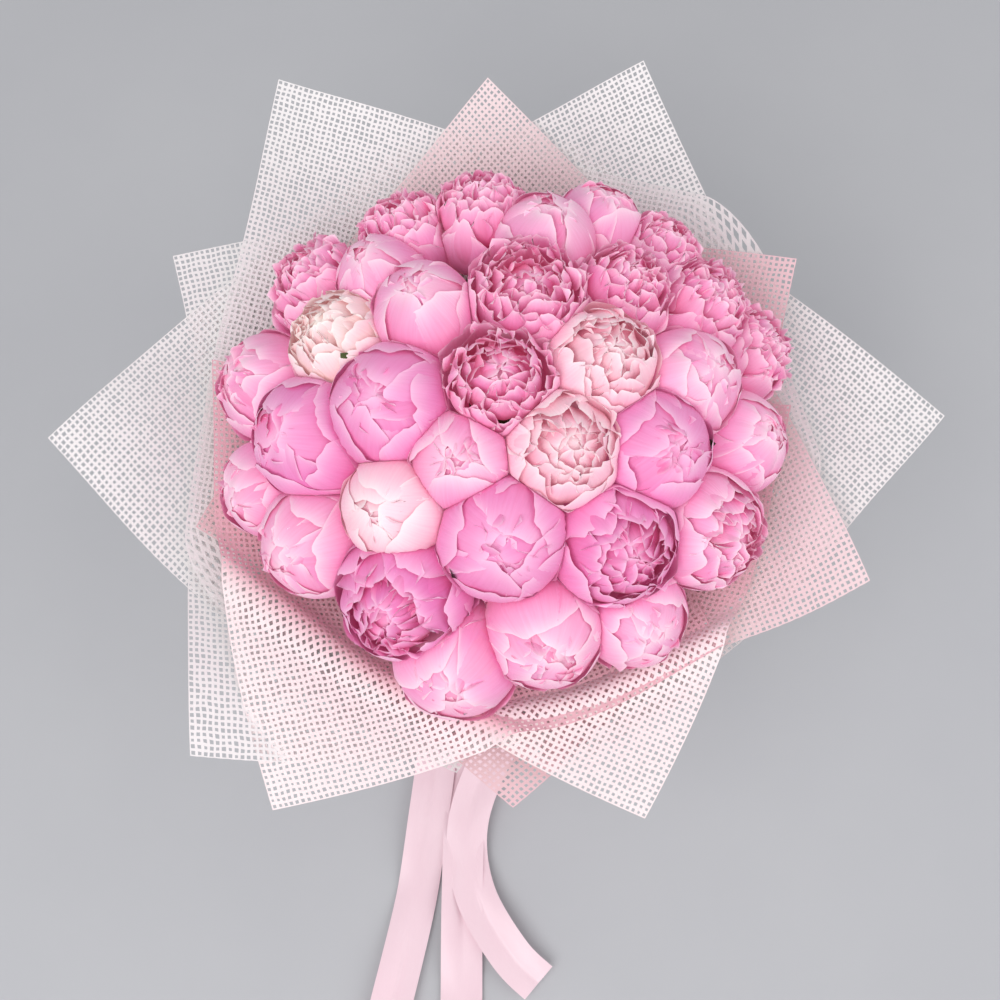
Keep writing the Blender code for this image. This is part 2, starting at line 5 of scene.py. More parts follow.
import bpy
import numpy as np
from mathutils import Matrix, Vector

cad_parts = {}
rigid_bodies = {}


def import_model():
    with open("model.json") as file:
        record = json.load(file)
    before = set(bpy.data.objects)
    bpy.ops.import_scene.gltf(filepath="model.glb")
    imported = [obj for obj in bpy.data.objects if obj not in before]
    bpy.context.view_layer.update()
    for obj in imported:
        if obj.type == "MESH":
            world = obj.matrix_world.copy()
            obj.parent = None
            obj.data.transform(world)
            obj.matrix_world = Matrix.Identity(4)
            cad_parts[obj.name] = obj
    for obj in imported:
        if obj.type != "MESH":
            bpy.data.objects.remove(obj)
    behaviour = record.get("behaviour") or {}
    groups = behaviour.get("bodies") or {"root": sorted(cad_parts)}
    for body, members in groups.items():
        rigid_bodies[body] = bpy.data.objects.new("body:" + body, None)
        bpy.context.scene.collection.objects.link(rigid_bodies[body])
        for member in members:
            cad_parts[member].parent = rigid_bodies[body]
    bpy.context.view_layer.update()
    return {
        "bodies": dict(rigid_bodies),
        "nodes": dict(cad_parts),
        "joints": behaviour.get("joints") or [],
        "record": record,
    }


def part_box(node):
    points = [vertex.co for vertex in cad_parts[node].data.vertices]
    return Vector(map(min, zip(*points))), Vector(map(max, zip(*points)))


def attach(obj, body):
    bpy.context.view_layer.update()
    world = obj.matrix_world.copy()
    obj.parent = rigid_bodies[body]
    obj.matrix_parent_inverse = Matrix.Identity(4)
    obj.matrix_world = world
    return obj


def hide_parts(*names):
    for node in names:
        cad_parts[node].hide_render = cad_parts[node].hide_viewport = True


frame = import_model()
scene = bpy.context.scene
scene.view_settings.view_transform = "Standard"
print("stage: frame loaded")


# camera, floor and light

cameraPlace = {
    "elevation": 70.0,
    "distance": 1.15,
    "aimHeight": 0.236,
    "aside": 0.004,
    "below": 0.0315,
    "lens": 50.0,
}


def buildCamera():
    rise = math.radians(cameraPlace["elevation"])
    back = Vector((0, -math.cos(rise), math.sin(rise)))
    up = Vector((0, math.sin(rise), math.cos(rise)))
    place = Vector((0, 0, cameraPlace["aimHeight"])) + back * cameraPlace["distance"]
    place -= Vector((cameraPlace["aside"], 0, 0)) + up * cameraPlace["below"]
    camera = bpy.data.objects.new("camera", bpy.data.cameras.new("camera"))
    camera.data.lens = cameraPlace["lens"]
    camera.location = place
    camera.rotation_euler = back.to_track_quat("Z", "Y").to_euler()
    scene.collection.objects.link(camera)
    scene.camera = camera


studio = {
    "world": (0.80, 0.81, 0.83),
    "worldStrength": 0.72,
    "keyPower": 25.0,
    "keySize": 1.6,
    "keyPlace": (-0.7, -1.3, 2.0),
    "fillPower": 9.0,
    "fillSize": 2.0,
    "fillPlace": (1.5, -0.3, 1.3),
}


def areaLight(name, place, size, power):
    light = bpy.data.lights.new(name, "AREA")
    light.size = size
    light.energy = power
    lamp = bpy.data.objects.new(name, light)
    lamp.location = place
    aim = Vector(place) - Vector((0, 0, cameraPlace["aimHeight"]))
    lamp.rotation_euler = aim.to_track_quat("Z", "Y").to_euler()
    scene.collection.objects.link(lamp)


def buildStudio():
    world = bpy.data.worlds.new("studio")
    world.use_nodes = True
    background = world.node_tree.nodes["Background"]
    background.inputs["Color"].default_value = (*studio["world"], 1)
    background.inputs["Strength"].default_value = studio["worldStrength"]
    scene.world = world
    areaLight("keyLight", studio["keyPlace"], studio["keySize"], studio["keyPower"])
    areaLight("fillLight", studio["fillPlace"], studio["fillSize"], studio["fillPower"])


# node helpers


def rgb(red, green, blue):
    parts = []
    for part in (red, green, blue):
        share = part / 255
        parts.append(share / 12.92 if share <= 0.04045 else ((share + 0.055) / 1.055) ** 2.4)
    return (*parts, 1.0)


def put(tree, value, socket):
    if isinstance(value, bpy.types.NodeSocket):
        tree.links.new(value, socket)
    else:
        socket.default_value = value


def maths(tree, operation, first, second=0.0, clamp=False):
    node = tree.nodes.new("ShaderNodeMath")
    node.operation = operation
    node.use_clamp = clamp
    put(tree, first, node.inputs[0])
    put(tree, second, node.inputs[1])
    return node.outputs[0]


def blendColour(tree, factor, first, second):
    node = tree.nodes.new("ShaderNodeMix")
    node.data_type = "RGBA"
    put(tree, factor, node.inputs[0])
    put(tree, first, node.inputs[6])
    put(tree, second, node.inputs[7])
    return node.outputs[2]


def spreadValue(tree, value, low, high):
    node = tree.nodes.new("ShaderNodeMapRange")
    put(tree, value, node.inputs[0])
    node.inputs[3].default_value = low
    node.inputs[4].default_value = high
    return node.outputs[0]


def bumpFrom(tree, height, strength, distance):
    node = tree.nodes.new("ShaderNodeBump")
    node.inputs["Strength"].default_value = strength
    node.inputs["Distance"].default_value = distance
    put(tree, height, node.inputs["Height"])
    return node.outputs["Normal"]


def newGroup(name, treeKind, inputs, output, outputKind):
    group = bpy.data.node_groups.new(name, treeKind)
    for label, kind in inputs.items():
        group.interface.new_socket(label, in_out="INPUT", socket_type="NodeSocket" + kind)
    group.interface.new_socket(output, in_out="OUTPUT", socket_type="NodeSocket" + outputKind)
    given = group.nodes.new("NodeGroupInput").outputs
    return group, given, group.nodes.new("NodeGroupOutput").inputs


def softVeinsGroup():
    inputs = {"Vector": "Vector", "Across": "Float", "Along": "Float"}
    group, given, result = newGroup("softVeins", "ShaderNodeTree", inputs, "Veins", "Float")
    stretch = group.nodes.new("ShaderNodeCombineXYZ")
    group.links.new(given["Across"], stretch.inputs[0])
    group.links.new(given["Along"], stretch.inputs[1])
    scaled = group.nodes.new("ShaderNodeVectorMath")
    scaled.operation = "MULTIPLY"
    group.links.new(given["Vector"], scaled.inputs[0])
    group.links.new(stretch.outputs[0], scaled.inputs[1])
    texture = group.nodes.new("ShaderNodeTexNoise")
    texture.inputs["Scale"].default_value = 1.0
    texture.inputs["Detail"].default_value = 3.0
    group.links.new(scaled.outputs[0], texture.inputs["Vector"])
    put(group, spreadValue(group, texture.outputs[0], -0.6, 1.6), result["Veins"])
    return group


def patchesGroup():
    inputs = {"Vector": "Vector", "Scale": "Float", "Detail": "Float"}
    group, given, result = newGroup("patches", "ShaderNodeTree", inputs, "Patches", "Float")
    texture = group.nodes.new("ShaderNodeTexNoise")
    for socket in ("Vector", "Scale", "Detail"):
        group.links.new(given[socket], texture.inputs[socket])
    put(group, spreadValue(group, texture.outputs[0], -0.5, 1.5), result["Patches"])
    return group


def place(tree, group, output, **values):
    node = tree.nodes.new("ShaderNodeGroup")
    node.node_tree = group
    for name, value in values.items():
        put(tree, value, node.inputs[name])
    return node.outputs[output]


def startMaterial(name, fixed):
    material = bpy.data.materials.new(name)
    material.use_nodes = True
    shader = material.node_tree.nodes["Principled BSDF"]
    for socket, value in fixed.items():
        shader.inputs[socket].default_value = value
    return material, material.node_tree, shader


def coords(tree):
    return tree.nodes.new("ShaderNodeTexCoord").outputs["Object"]


def uvPlace(tree, name):
    node = tree.nodes.new("ShaderNodeUVMap")
    node.uv_map = name
    return node.outputs[0]


veins = softVeinsGroup()
patches = patchesGroup()


def veinsOn(tree, uvName, paint):
    across, along = paint["veins"]
    return place(tree, veins, "Veins", Vector=uvPlace(tree, uvName), Across=across, Along=along)


def cloudsOn(tree, scale, detail=2.0):
    return place(tree, patches, "Patches", Vector=coords(tree), Scale=scale, Detail=detail)


def tinted(tree, mask, share, first, second):
    return blendColour(tree, maths(tree, "MULTIPLY", mask, share, True), first, second)


def finishShader(tree, shader, paint, colour, rough, height):
    put(tree, colour, shader.inputs["Base Color"])
    put(tree, spreadValue(tree, rough, *paint["roughness"]), shader.inputs["Roughness"])
    put(tree, bumpFrom(tree, height, *paint["bump"]), shader.inputs["Normal"])


# finishes

# each petal's outside, inside, second tone, creases (deep tone with painted shade), rim (pale edge with
# painted highlight) and foot
petalTints = {
    "peony_pink": [
        (246, 172, 214), (250, 152, 196), (240, 144, 202),
        (220, 34, 116), (255, 222, 236), (240, 104, 166),
    ],
    "peony_deep": [
        (240, 146, 206), (246, 126, 184), (230, 122, 192),
        (206, 22, 108), (252, 198, 228), (232, 88, 160),
    ],
    "peony_pale": [
        (252, 208, 224), (252, 214, 218), (250, 190, 212),
        (236, 108, 160), (255, 238, 241), (246, 186, 188),
    ],
    "peony_cream": [
        (252, 222, 228), (253, 237, 228), (250, 210, 218),
        (240, 150, 172), (255, 249, 244), (247, 226, 196),
    ],
}

petalPaint = {
    # Emission Strength makes the petals glow faintly in their own colour: painted light standing in for
    # light shining through the petals
    "fixed": {"Sheen Weight": 0.2, "Emission Strength": 0.07},
    "veins": (34.0, 2.4),
    "cloudScale": 45.0,
    "otherShare": 0.85,
    "footFade": 1.6,
    "footShare": 0.9,
    "creaseToneAndShadeFrom": 0.25,
    "creaseToneAndShadeShare": 0.9,
    "veinShare": 0.21,
    "cloudShare": 0.18,
    "paleRimAndHighlightFade": 7.0,
    "paleRimAndHighlightShare": 0.85,
    "cloudHeight": 0.6,
    "roughness": (0.48, 0.66),
    "bump": (0.22, 0.0008),
}


def petalMaterial(name):
    paint = petalPaint
    outer, inner, other, deep, pale, foot = (rgb(*tint) for tint in petalTints[name])
    material, tree, shader = startMaterial(name, paint["fixed"])
    where = tree.nodes.new("ShaderNodeAttribute")
    where.attribute_name = "petalPlace"
    parts = tree.nodes.new("ShaderNodeSeparateColor")
    tree.links.new(where.outputs["Color"], parts.inputs[0])
    along, edge, chance = parts.outputs
    depth = where.outputs["Alpha"]
    streaks = veinsOn(tree, "petalUv", paint)
    cloudy = cloudsOn(tree, paint["cloudScale"])
    colour = blendColour(tree, depth, outer, inner)
    colour = tinted(tree, chance, paint["otherShare"], colour, other)
    low = maths(tree, "POWER", maths(tree, "SUBTRACT", 1.0, along, True), paint["footFade"], True)
    colour = tinted(tree, low, paint["footShare"], colour, foot)
    # painted shade, partly the petals' own deeper base: the deep tone darkens the feet of the petals,
    # more in the inner whorls, where the layers shade each other
    inward = maths(tree, "MULTIPLY", low, maths(tree, "ADD", depth, paint["creaseToneAndShadeFrom"]), True)
    colour = tinted(tree, inward, paint["creaseToneAndShadeShare"], colour, deep)
    colour = tinted(tree, streaks, paint["veinShare"], colour, deep)
    colour = tinted(tree, cloudy, paint["cloudShare"], colour, pale)
    # paler towards the rim: partly the petals' own pale edges, partly a painted highlight where the thin
    # edges catch the light
    rim = maths(tree, "POWER", edge, paint["paleRimAndHighlightFade"], True)
    colour = tinted(tree, rim, paint["paleRimAndHighlightShare"], colour, pale)
    # the petal colour also feeds the emission, a faint painted glow that lifts the shade between the
    # petal layers
    put(tree, colour, shader.inputs["Emission Color"])
    height = maths(tree, "ADD", streaks, maths(tree, "MULTIPLY", cloudy, paint["cloudHeight"]))
    finishShader(tree, shader, paint, colour, streaks, height)
    return material


coats = {
    "leaf": {
        "fixed": {"Specular IOR Level": 0.4},
        "veins": (14.0, 3.0),
        "clouds": (30.0, 3.0),
        "shares": (0.7, 0.35),
        "roughness": (0.38, 0.6),
        "bump": (0.35, 0.0008),
    },
    "ribbon": {
        "fixed": {"Sheen Weight": 0.3, "Anisotropic": 0.4, "Specular IOR Level": 0.5},
        "veins": (150.0, 4.0),
        "clouds": (16.0, 2.0),
        "shares": (0.22, 0.3),
        "roughness": (0.26, 0.4),
        "bump": (0.12, 0.0003),
    },
    "twine": {
        "fixed": {"Sheen Weight": 0.3},
        "veins": (9.0, 60.0),
        "clouds": (9.0, 2.0),
        "shares": (0.8, 0.0),
        "roughness": (0.7, 0.9),
        "bump": (0.6, 0.0006),
    },
}


def coatMaterial(name, kind, light, dark, pale):
    paint = coats[kind]
    material, tree, shader = startMaterial(name, paint["fixed"])
    streaks = veinsOn(tree, kind + "Uv", paint)
    cloudy = cloudsOn(tree, *paint["clouds"])
    colour = tinted(tree, streaks, paint["shares"][0], light, dark)
    colour = tinted(tree, cloudy, paint["shares"][1], colour, pale)
    rough = cloudy if kind == "leaf" else streaks
    finishShader(tree, shader, paint, colour, rough, streaks)
    return material


threadPaint = {
    "fixed": {"Sheen Weight": 0.15},
    "cloudScale": 9.0,
    "cloudShare": 0.5,
    "fibreScale": 900.0,
    "fibreShare": 0.3,
    "lapelReach": 0.175,
    "lapelEdge": 40.0,
    "roughness": (0.5, 0.72),
    "bump": (0.4, 0.0003),
}


def threadMaterial(name, light, dark, lapel=None):
    paint = threadPaint
    material, tree, shader = startMaterial(name, paint["fixed"])
    cloudy = cloudsOn(tree, paint["cloudScale"])
    fibre = cloudsOn(tree, paint["fibreScale"])
    colour = tinted(tree, cloudy, paint["cloudShare"], light, dark)
    if lapel:  # beyond the fold the sheet shows its paler side
        cut = tree.nodes.new("ShaderNodeSeparateXYZ")
        tree.links.new(uvPlace(tree, "threadUv"), cut.inputs[0])
        inside = maths(tree, "ADD", cut.outputs[0], cut.outputs[1])
        beyond = maths(tree, "SUBTRACT", paint["lapelReach"], inside)
        colour = tinted(tree, beyond, paint["lapelEdge"], colour, lapel)
    colour = tinted(tree, fibre, paint["fibreShare"], colour, dark)
    finishShader(tree, shader, paint, colour, fibre, fibre)
    return material


finishes = {name: petalMaterial(name) for name in petalTints}
for name, kind, *tints in [
    ("leaf", "leaf", (74, 104, 52), (40, 66, 34), (108, 132, 74)),
    ("stem", "leaf", (112, 140, 70), (76, 104, 50), (150, 128, 92)),
    ("ribbon", "ribbon", (252, 224, 232), (240, 196, 210), (240, 196, 210)),
    ("string", "twine", (196, 168, 120), (128, 98, 60), (128, 98, 60)),
]:
    finishes[name] = coatMaterial(name, kind, *(rgb(*tint) for tint in tints))
for name, *tints in [
    ("white_mesh", (252, 249, 248), (238, 232, 232)),
    ("pink_mesh", (250, 218, 221), (240, 196, 203)),
    ("blush_mesh", (252, 234, 234), (244, 208, 212)),
    ("lapel_mesh", (250, 214, 218), (240, 190, 198), (253, 242, 241)),
]:
    finishes[name] = threadMaterial(name, *(rgb(*tint) for tint in tints))
print("stage: finishes")


# mesh helpers


def gridFaces(columns, rows, closed=False):
    faces = []
    for low in range(0, (rows - 1) * columns, columns):
        high = low + columns
        for column in range(columns if closed else columns - 1):
            after = (column + 1) % columns
            faces.append((low + column, low + after, high + after, high + column))
    return faces


def cappedFaces(columns, rows):
    faces = gridFaces(columns, rows, closed=True)
    faces.append(tuple(reversed(range(columns))))
    faces.append(tuple(range((rows - 1) * columns, rows * columns)))
    return faces


def facesFrom(start, faces):
    return [tuple(i + start for i in face) for face in faces]


def meshPiece(name, points, faces, finish, uvName=None, uvs=None, extra=None):
    mesh = bpy.data.meshes.new(name)
    mesh.from_pydata([tuple(p) for p in points], [], faces)
    mesh.shade_smooth()
    if uvName:
        layer = mesh.uv_layers.new(name=uvName)
        corners = np.zeros(len(mesh.loops), dtype=np.int32)
        mesh.loops.foreach_get("vertex_index", corners)
        layer.data.foreach_set("uv", np.asarray(uvs, dtype=np.float32)[corners].ravel())
    if extra is not None:
        layer = mesh.attributes.new("petalPlace", "FLOAT_COLOR", "POINT")
        layer.data.foreach_set("color", np.asarray(extra, dtype=np.float32).ravel())
    mesh.materials.append(finish)
    piece = bpy.data.objects.new(name, mesh)
    scene.collection.objects.link(piece)
    return piece


def settle(piece, slot, *nodes):
    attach(piece, "root")
    if nodes:
        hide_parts(*nodes)


def middleOf(node):
    low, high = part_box(node)
    return (low + high) / 2


# the wrap's cone

wrapShape = {
    "tie": 0.18,
    "waist": 0.032,
    "start": 0.0348,
    "flareBack": 31.0,
    "flareFront": 46.0,
    "curl": 85.0,
    "skirtFlare": 29.0,
    "layerStep": 0.0012,
    "layerSpread": 0.0066,
    "gather": 1.15,
    "bendLength": 0.012,
    "steepest": 0.999,
    "widening": 0.66,
}


def firstLean(turn):
    back, front = wrapShape["flareBack"], wrapShape["flareFront"]
    return np.radians(back + (front - back) * (1 - np.sin(turn)) / 2)


def wrapPoints(turn, slant, offset, past=None, bend=0.0):
    half = wrapShape["waist"] / 2
    curl = math.radians(wrapShape["curl"])
    skirt = math.radians(wrapShape["skirtFlare"])
    first = firstLean(turn)
    run = np.maximum(slant - half, 0)
    lean = first + curl * run
    radius = wrapShape["start"] + (np.cos(first) - np.cos(lean)) / curl
    height = wrapShape["tie"] + half + (np.sin(lean) - np.sin(first)) / curl
    inside = np.abs(slant) <= half
    radius = np.where(inside, wrapShape["start"], radius)
    height = np.where(inside, wrapShape["tie"] + slant, height)
    lean = np.where(inside, 0.0, lean)
    below = np.maximum(-slant - half, 0)
    under = slant < -half
    radius = np.where(under, wrapShape["start"] + below * math.sin(skirt), radius)
    height = np.where(under, wrapShape["tie"] - half - below * math.cos(skirt), height)
    lean = np.where(under, -skirt, lean)
    if past is not None:  # past is how far a point lies beyond a fold that turns down by bend
        tilt = bend * np.clip(past / wrapShape["bendLength"], 0, 1)
        radius = radius + past * (np.sin(lean + tilt) - np.sin(lean))
        height = height - past * (np.cos(lean) - np.cos(lean + tilt))
        lean = lean + tilt
    radius = radius + offset * np.cos(lean)
    height = height - offset * np.sin(lean)
    return np.stack([radius * np.cos(turn), radius * np.sin(turn), height], -1)


def insideWrap(points):
    flat = np.hypot(points[..., 0], points[..., 1])
    first = firstLean(np.arctan2(points[..., 1], points[..., 0]))
    curl = math.radians(wrapShape["curl"])
    steepest = wrapShape["steepest"]
    above = np.maximum(points[..., 2] - wrapShape["tie"] - wrapShape["waist"] / 2, 0)
    lean = np.arcsin(np.clip(np.sin(first) + above * curl, -steepest, steepest))
    clear = dome["toWrap"] / np.maximum(np.cos(lean), dome["leastFacing"])
    limit = wrapShape["start"] + (np.cos(first) - np.cos(lean)) / curl - clear
    share = np.where(flat > limit, limit / np.maximum(flat, 1e-6), 1.0)
    pulled = points.copy()
    pulled[..., :2] *= share[..., None]
    return pulled


# peony heads

dome = {
    "height": 0.236,
    "forward": 0.005,
    "radius": 0.226,
    "scale": 0.99,
    "fullness": 1.04,
    "toWrap": 0.002,
    "leastFacing": 0.3,
    "touching": 0.05,
    "pressFrom": 0.985,
    "pressShare": 0.86,
    "turnSpread": 0.2,
    "seed": 40,
}

# each head's width, form and tint, in order of number
headRows = [
    (0.08, "ruffled", "pink"),
    (0.082, "open", "pink"),
    (0.08, "rosette", "pale"),
    (0.072, "smooth", "pink"),
    (0.082, "rosette", "pale"),
    (0.072, "smooth", "pink"),
    (0.086, "ball", "deep"),
    (0.074, "smooth", "pink"),
    (0.068, "ruffled", "pink"),
    (0.066, "smooth", "pink"),
    (0.074, "rosette", "cream"),
    (0.072, "ruffled", "pink"),
    (0.082, "ball", "deep"),
    (0.066, "ruffled", "pink"),
    (0.088, "ball", "deep"),
    (0.076, "smooth", "pale"),
    (0.076, "ball", "pink"),
    (0.068, "smooth", "pink"),
    (0.086, "ball", "deep"),
    (0.064, "ruffled", "pink"),
    (0.088, "rosette", "deep"),
    (0.074, "ruffled", "pink"),
    (0.074, "ruffled", "pink"),
    (0.092, "rosette", "deep"),
    (0.072, "ball", "pink"),
    (0.076, "ball", "pink"),
    (0.084, "rosette", "pink"),
    (0.08, "ball", "pink"),
    (0.07, "ruffled", "pink"),
    (0.082, "ball", "pink"),
    (0.068, "ball", "pink"),
    (0.074, "ball", "pink"),
    (0.086, "smooth", "pink"),
]
headLooks = {f"peony_{number:02d}": row for number, row in enumerate(headRows, 1)}

# each whorl: petals, reach, tip's tilt and its spread, half width,
# ruffle, lip, raggedness, rise, span
headForms = {
    "ball": [
        (5, 1.03, 74, 14, 42, 0.022, 0.04, 0.03, 1.0, 84),
        (5, 1.01, 42, 10, 54, 0.02, 0.01, 0.025, 1.0, 116),
        (4, 0.975, 16, 10, 56, 0.02, 0.0, 0.022, 1.0, 140),
        (3, 0.945, -4, 8, 50, 0.022, 0.0, 0.026, 1.0, 150),
        (8, 0.96, 14, 12, 24, 0.06, 0.02, 0.04, 0.72, 44),
        (4, 0.9, -8, 6, 50, 0.03, 0.0, 0.03, 0.9, 90),
    ],
    "smooth": [
        (4, 1.02, 60, 12, 48, 0.018, 0.03, 0.02, 1.0, 98),
        (3, 1.0, 22, 8, 66, 0.016, 0.005, 0.018, 1.0, 136),
        (3, 0.97, 4, 8, 62, 0.016, 0.0, 0.02, 1.0, 150),
        (8, 0.955, 10, 10, 28, 0.055, 0.02, 0.04, 0.75, 42),
        (4, 0.915, -10, 5, 52, 0.03, 0.0, 0.03, 0.9, 90),
    ],
    "rosette": [
        (5, 1.02, 72, 12, 46, 0.026, 0.04, 0.03, 1.0, 86),
        (6, 1.0, 50, 10, 46, 0.032, 0.02, 0.035, 1.0, 108),
        (7, 0.98, 36, 8, 36, 0.048, 0.02, 0.045, 0.85, 60),
        (8, 0.97, 25, 8, 30, 0.06, 0.02, 0.05, 0.72, 46),
        (8, 0.96, 13, 7, 27, 0.066, 0.01, 0.05, 0.66, 40),
        (5, 0.94, 3, 5, 28, 0.06, 0.0, 0.05, 0.62, 36),
        (4, 0.86, -8, 5, 48, 0.04, 0.0, 0.04, 0.8, 80),
    ],
    "ruffled": [
        (6, 1.01, 76, 12, 44, 0.032, 0.06, 0.035, 1.0, 80),
        (7, 1.0, 58, 10, 36, 0.046, 0.06, 0.045, 0.95, 80),
        (9, 1.0, 45, 9, 29, 0.062, 0.05, 0.055, 0.76, 48),
        (10, 0.995, 33, 8, 26, 0.072, 0.04, 0.06, 0.66, 42),
        (9, 0.985, 22, 7, 24, 0.078, 0.02, 0.06, 0.6, 38),
        (7, 0.965, 11, 5, 24, 0.078, 0.01, 0.06, 0.56, 36),
        (5, 0.93, 2, 6, 26, 0.07, 0.0, 0.06, 0.6, 40),
        (4, 0.8, -8, 5, 46, 0.05, 0.0, 0.04, 0.8, 80),
    ],
    "open": [
        (7, 1.02, 74, 10, 44, 0.036, 0.09, 0.035, 1.0, 82),
        (8, 1.01, 58, 8, 36, 0.05, 0.08, 0.045, 0.95, 80),
        (10, 1.0, 47, 8, 28, 0.066, 0.06, 0.055, 0.76, 48),
        (10, 0.98, 37, 7, 26, 0.076, 0.03, 0.06, 0.66, 42),
        (8, 0.9, 30, 6, 24, 0.078, 0.0, 0.06, 0.56, 44),
        (7, 0.8, 18, 6, 28, 0.07, -0.02, 0.05, 0.5, 40),
        (5, 0.72, 4, 8, 34, 0.07, 0.0, 0.05, 0.6, 60),
        (4, 0.64, -8, 5, 50, 0.05, 0.0, 0.04, 0.8, 80),
    ],
}

petalShape = {
    "smallBelow": 35,
    "smallGrid": (15, 10),
    "largeGrid": (19, 17),
    "width": (0.85, 1.15),
    "foot": 0.4,
    "fullAt": 0.6,
    "narrowing": 0.34,
    "rim": 0.5,
    "rimPitch": 6.0,
    "notchDepth": (0.2, 2.2),
    "notchPlace": (-0.4, 0.4),
    "notchWidth": 0.12,
    "rounding": (0.2, 0.32),
    "roundingSpan": 70,
    "rankStep": 0.006,
    "slope": (0.012, 0.03),
    "lip": (0.2, 1.6),
    "ruffleMiddle": 0.3,
    "rufflePitch": 3.4,
    "crease": (0.0, 0.035),
    "creaseWidth": 0.12,
    "swell": 0.016,
    "swellPitch": 2.4,
    "sway": 0.5,
    "swayPitch": 5.0,
}


def waves(dice, u, t, count, pitch):
    total = np.zeros_like(u)
    for step in range(count):
        along = pitch * (1 + 0.8 * step) * dice.uniform(0.8, 1.2)
        up = dice.uniform(-3.0, 3.0)
        total += np.sin(u * along + t * up + dice.uniform(0, 6.28)) / (1 + 0.7 * step)
    return total


def bell(value, width):
    return np.exp(-((value / width) ** 2))


def petalTip(dice, u, t, ragged, span):
    shape = petalShape
    rim = ragged * t ** 4 * (shape["rim"] * waves(dice, u, t * 0, 3, shape["rimPitch"]))
    depth = ragged * dice.uniform(*shape["notchDepth"])
    notch = depth * bell(u - dice.uniform(*shape["notchPlace"]), shape["notchWidth"]) * t ** 6
    rounding = dice.uniform(*shape["rounding"]) * min(1.0, shape["roundingSpan"] / span)
    return t - rounding * np.abs(u) ** 2.4 * t ** 2 + rim - notch


def petalLevel(dice, u, t, whorl, rank):
    shape = petalShape
    _, reach, _, _, _, ruffle, lip, _, start, _ = whorl
    level = (start + (1 - start) * t ** 0.8) * (reach - shape["rankStep"] * (rank % 3))
    level += dice.uniform(*shape["slope"]) * u * (0.3 + 0.7 * t)
    level += lip * dice.uniform(*shape["lip"]) * t ** 4
    middle = shape["ruffleMiddle"]
    fromMiddle = middle + (1 - middle) * np.abs(u) * t
    level += ruffle * t * fromMiddle * waves(dice, u, t, 3, shape["rufflePitch"])
    level -= dice.uniform(*shape["crease"]) * bell(u, shape["creaseWidth"]) * t
    level += shape["swell"] * waves(dice, u * 1.1, t * 2.2, 3, shape["swellPitch"]) * (0.3 + t)
    return level


def petalSurface(dice, whorl, depth, turn, rank):
    shape = petalShape
    _, _, tipTilt, tipSpread, halfWidth, ruffle, _, ragged, _, span = whorl
    grid = shape["smallGrid" if halfWidth < shape["smallBelow"] else "largeGrid"]
    u, t = np.meshgrid(np.linspace(-1, 1, grid[0]), np.linspace(0, 1, grid[1]))
    width = math.radians(halfWidth * dice.uniform(*shape["width"]))
    foot, full = shape["foot"], shape["fullAt"]
    spread = foot + (1 - foot) * np.sin(np.pi / 2 * np.clip(t / full, 0, 1))
    spread *= 1 - shape["narrowing"] * np.clip((t - full) / (1 - full), 0, 1) ** 2
    alpha = u * width * spread
    share = petalTip(dice, u, t, ragged, span)
    tipAt = tipTilt + dice.uniform(-tipSpread, tipSpread)
    beta = np.radians(90 - tipAt - span * (1 - share))
    level = petalLevel(dice, u, t, whorl, rank)
    alpha += shape["sway"] * ruffle * t ** 2 * waves(dice, u, t, 2, shape["swayPitch"])
    side = np.cos(alpha) * np.cos(beta)
    up = np.cos(alpha) * np.sin(beta)
    across = np.sin(alpha)
    x = side * math.cos(turn) - across * math.sin(turn)
    y = side * math.sin(turn) + across * math.cos(turn)
    points = np.stack([x, y, up], -1) * level[..., None]
    edge = np.maximum(np.abs(u) ** 2.2 * np.clip(t * 1.4, 0, 1), t ** 1.6)
    look = np.stack([t, edge, np.full_like(t, dice.random()), np.full_like(t, depth)], -1)
    shift = dice.uniform(0, 20)
    uv = np.stack([u * 0.5 * halfWidth / 45 + shift, t * span / 120 + shift], -1)
    return points.reshape(-1, 3), look.reshape(-1, 4), uv.reshape(-1, 2), gridFaces(*grid)


def pressFlat(points, centre, radius, others):
    local = points - centre
    length = np.linalg.norm(local, axis=1)
    way = local / np.maximum(length, 1e-6)[:, None]
    for otherCentre, otherRadius in others:
        between = otherCentre - centre
        distance = np.linalg.norm(between)
        lean = way @ (between / distance)
        plane = (distance ** 2 + radius ** 2 - otherRadius ** 2) / (2 * distance)
        limit = np.where(lean > dome["touching"], plane / np.maximum(lean, dome["touching"]), 10.0)
        over = np.maximum(length - limit * dome["pressFrom"], 0)
        length = length - over * dome["pressShare"]
    return centre + way * length[:, None]


def headFrames():
    centre = Vector((0, -dome["forward"], dome["height"]))
    frames = {}
    for node, (width, _, _) in headLooks.items():
        axis = (middleOf(node) - centre).normalized()
        radius = width * dome["scale"] * dome["fullness"] / 2
        frames[node] = (np.array(centre + axis * dome["radius"]), axis, radius)
    return frames


def petalsOf(dice, form):
    points, looks, uvs, faces = [], [], [], []
    count = 0
    whorls = headForms[form]
    spread = dome["turnSpread"]
    for level, whorl in enumerate(whorls):
        depth = level / (len(whorls) - 1)
        begin = dice.uniform(0, 6.28)
        for petal in range(whorl[0]):
            turn = begin + 2 * math.pi * petal / whorl[0] + dice.uniform(-spread, spread)
            some, look, uv, quads = petalSurface(dice, whorl, depth, turn, petal)
            points.append(some)
            looks.append(look)
            uvs.append(uv)
            faces += facesFrom(count, quads)
            count += len(some)
    return np.concatenate(points), np.concatenate(looks), np.concatenate(uvs), faces


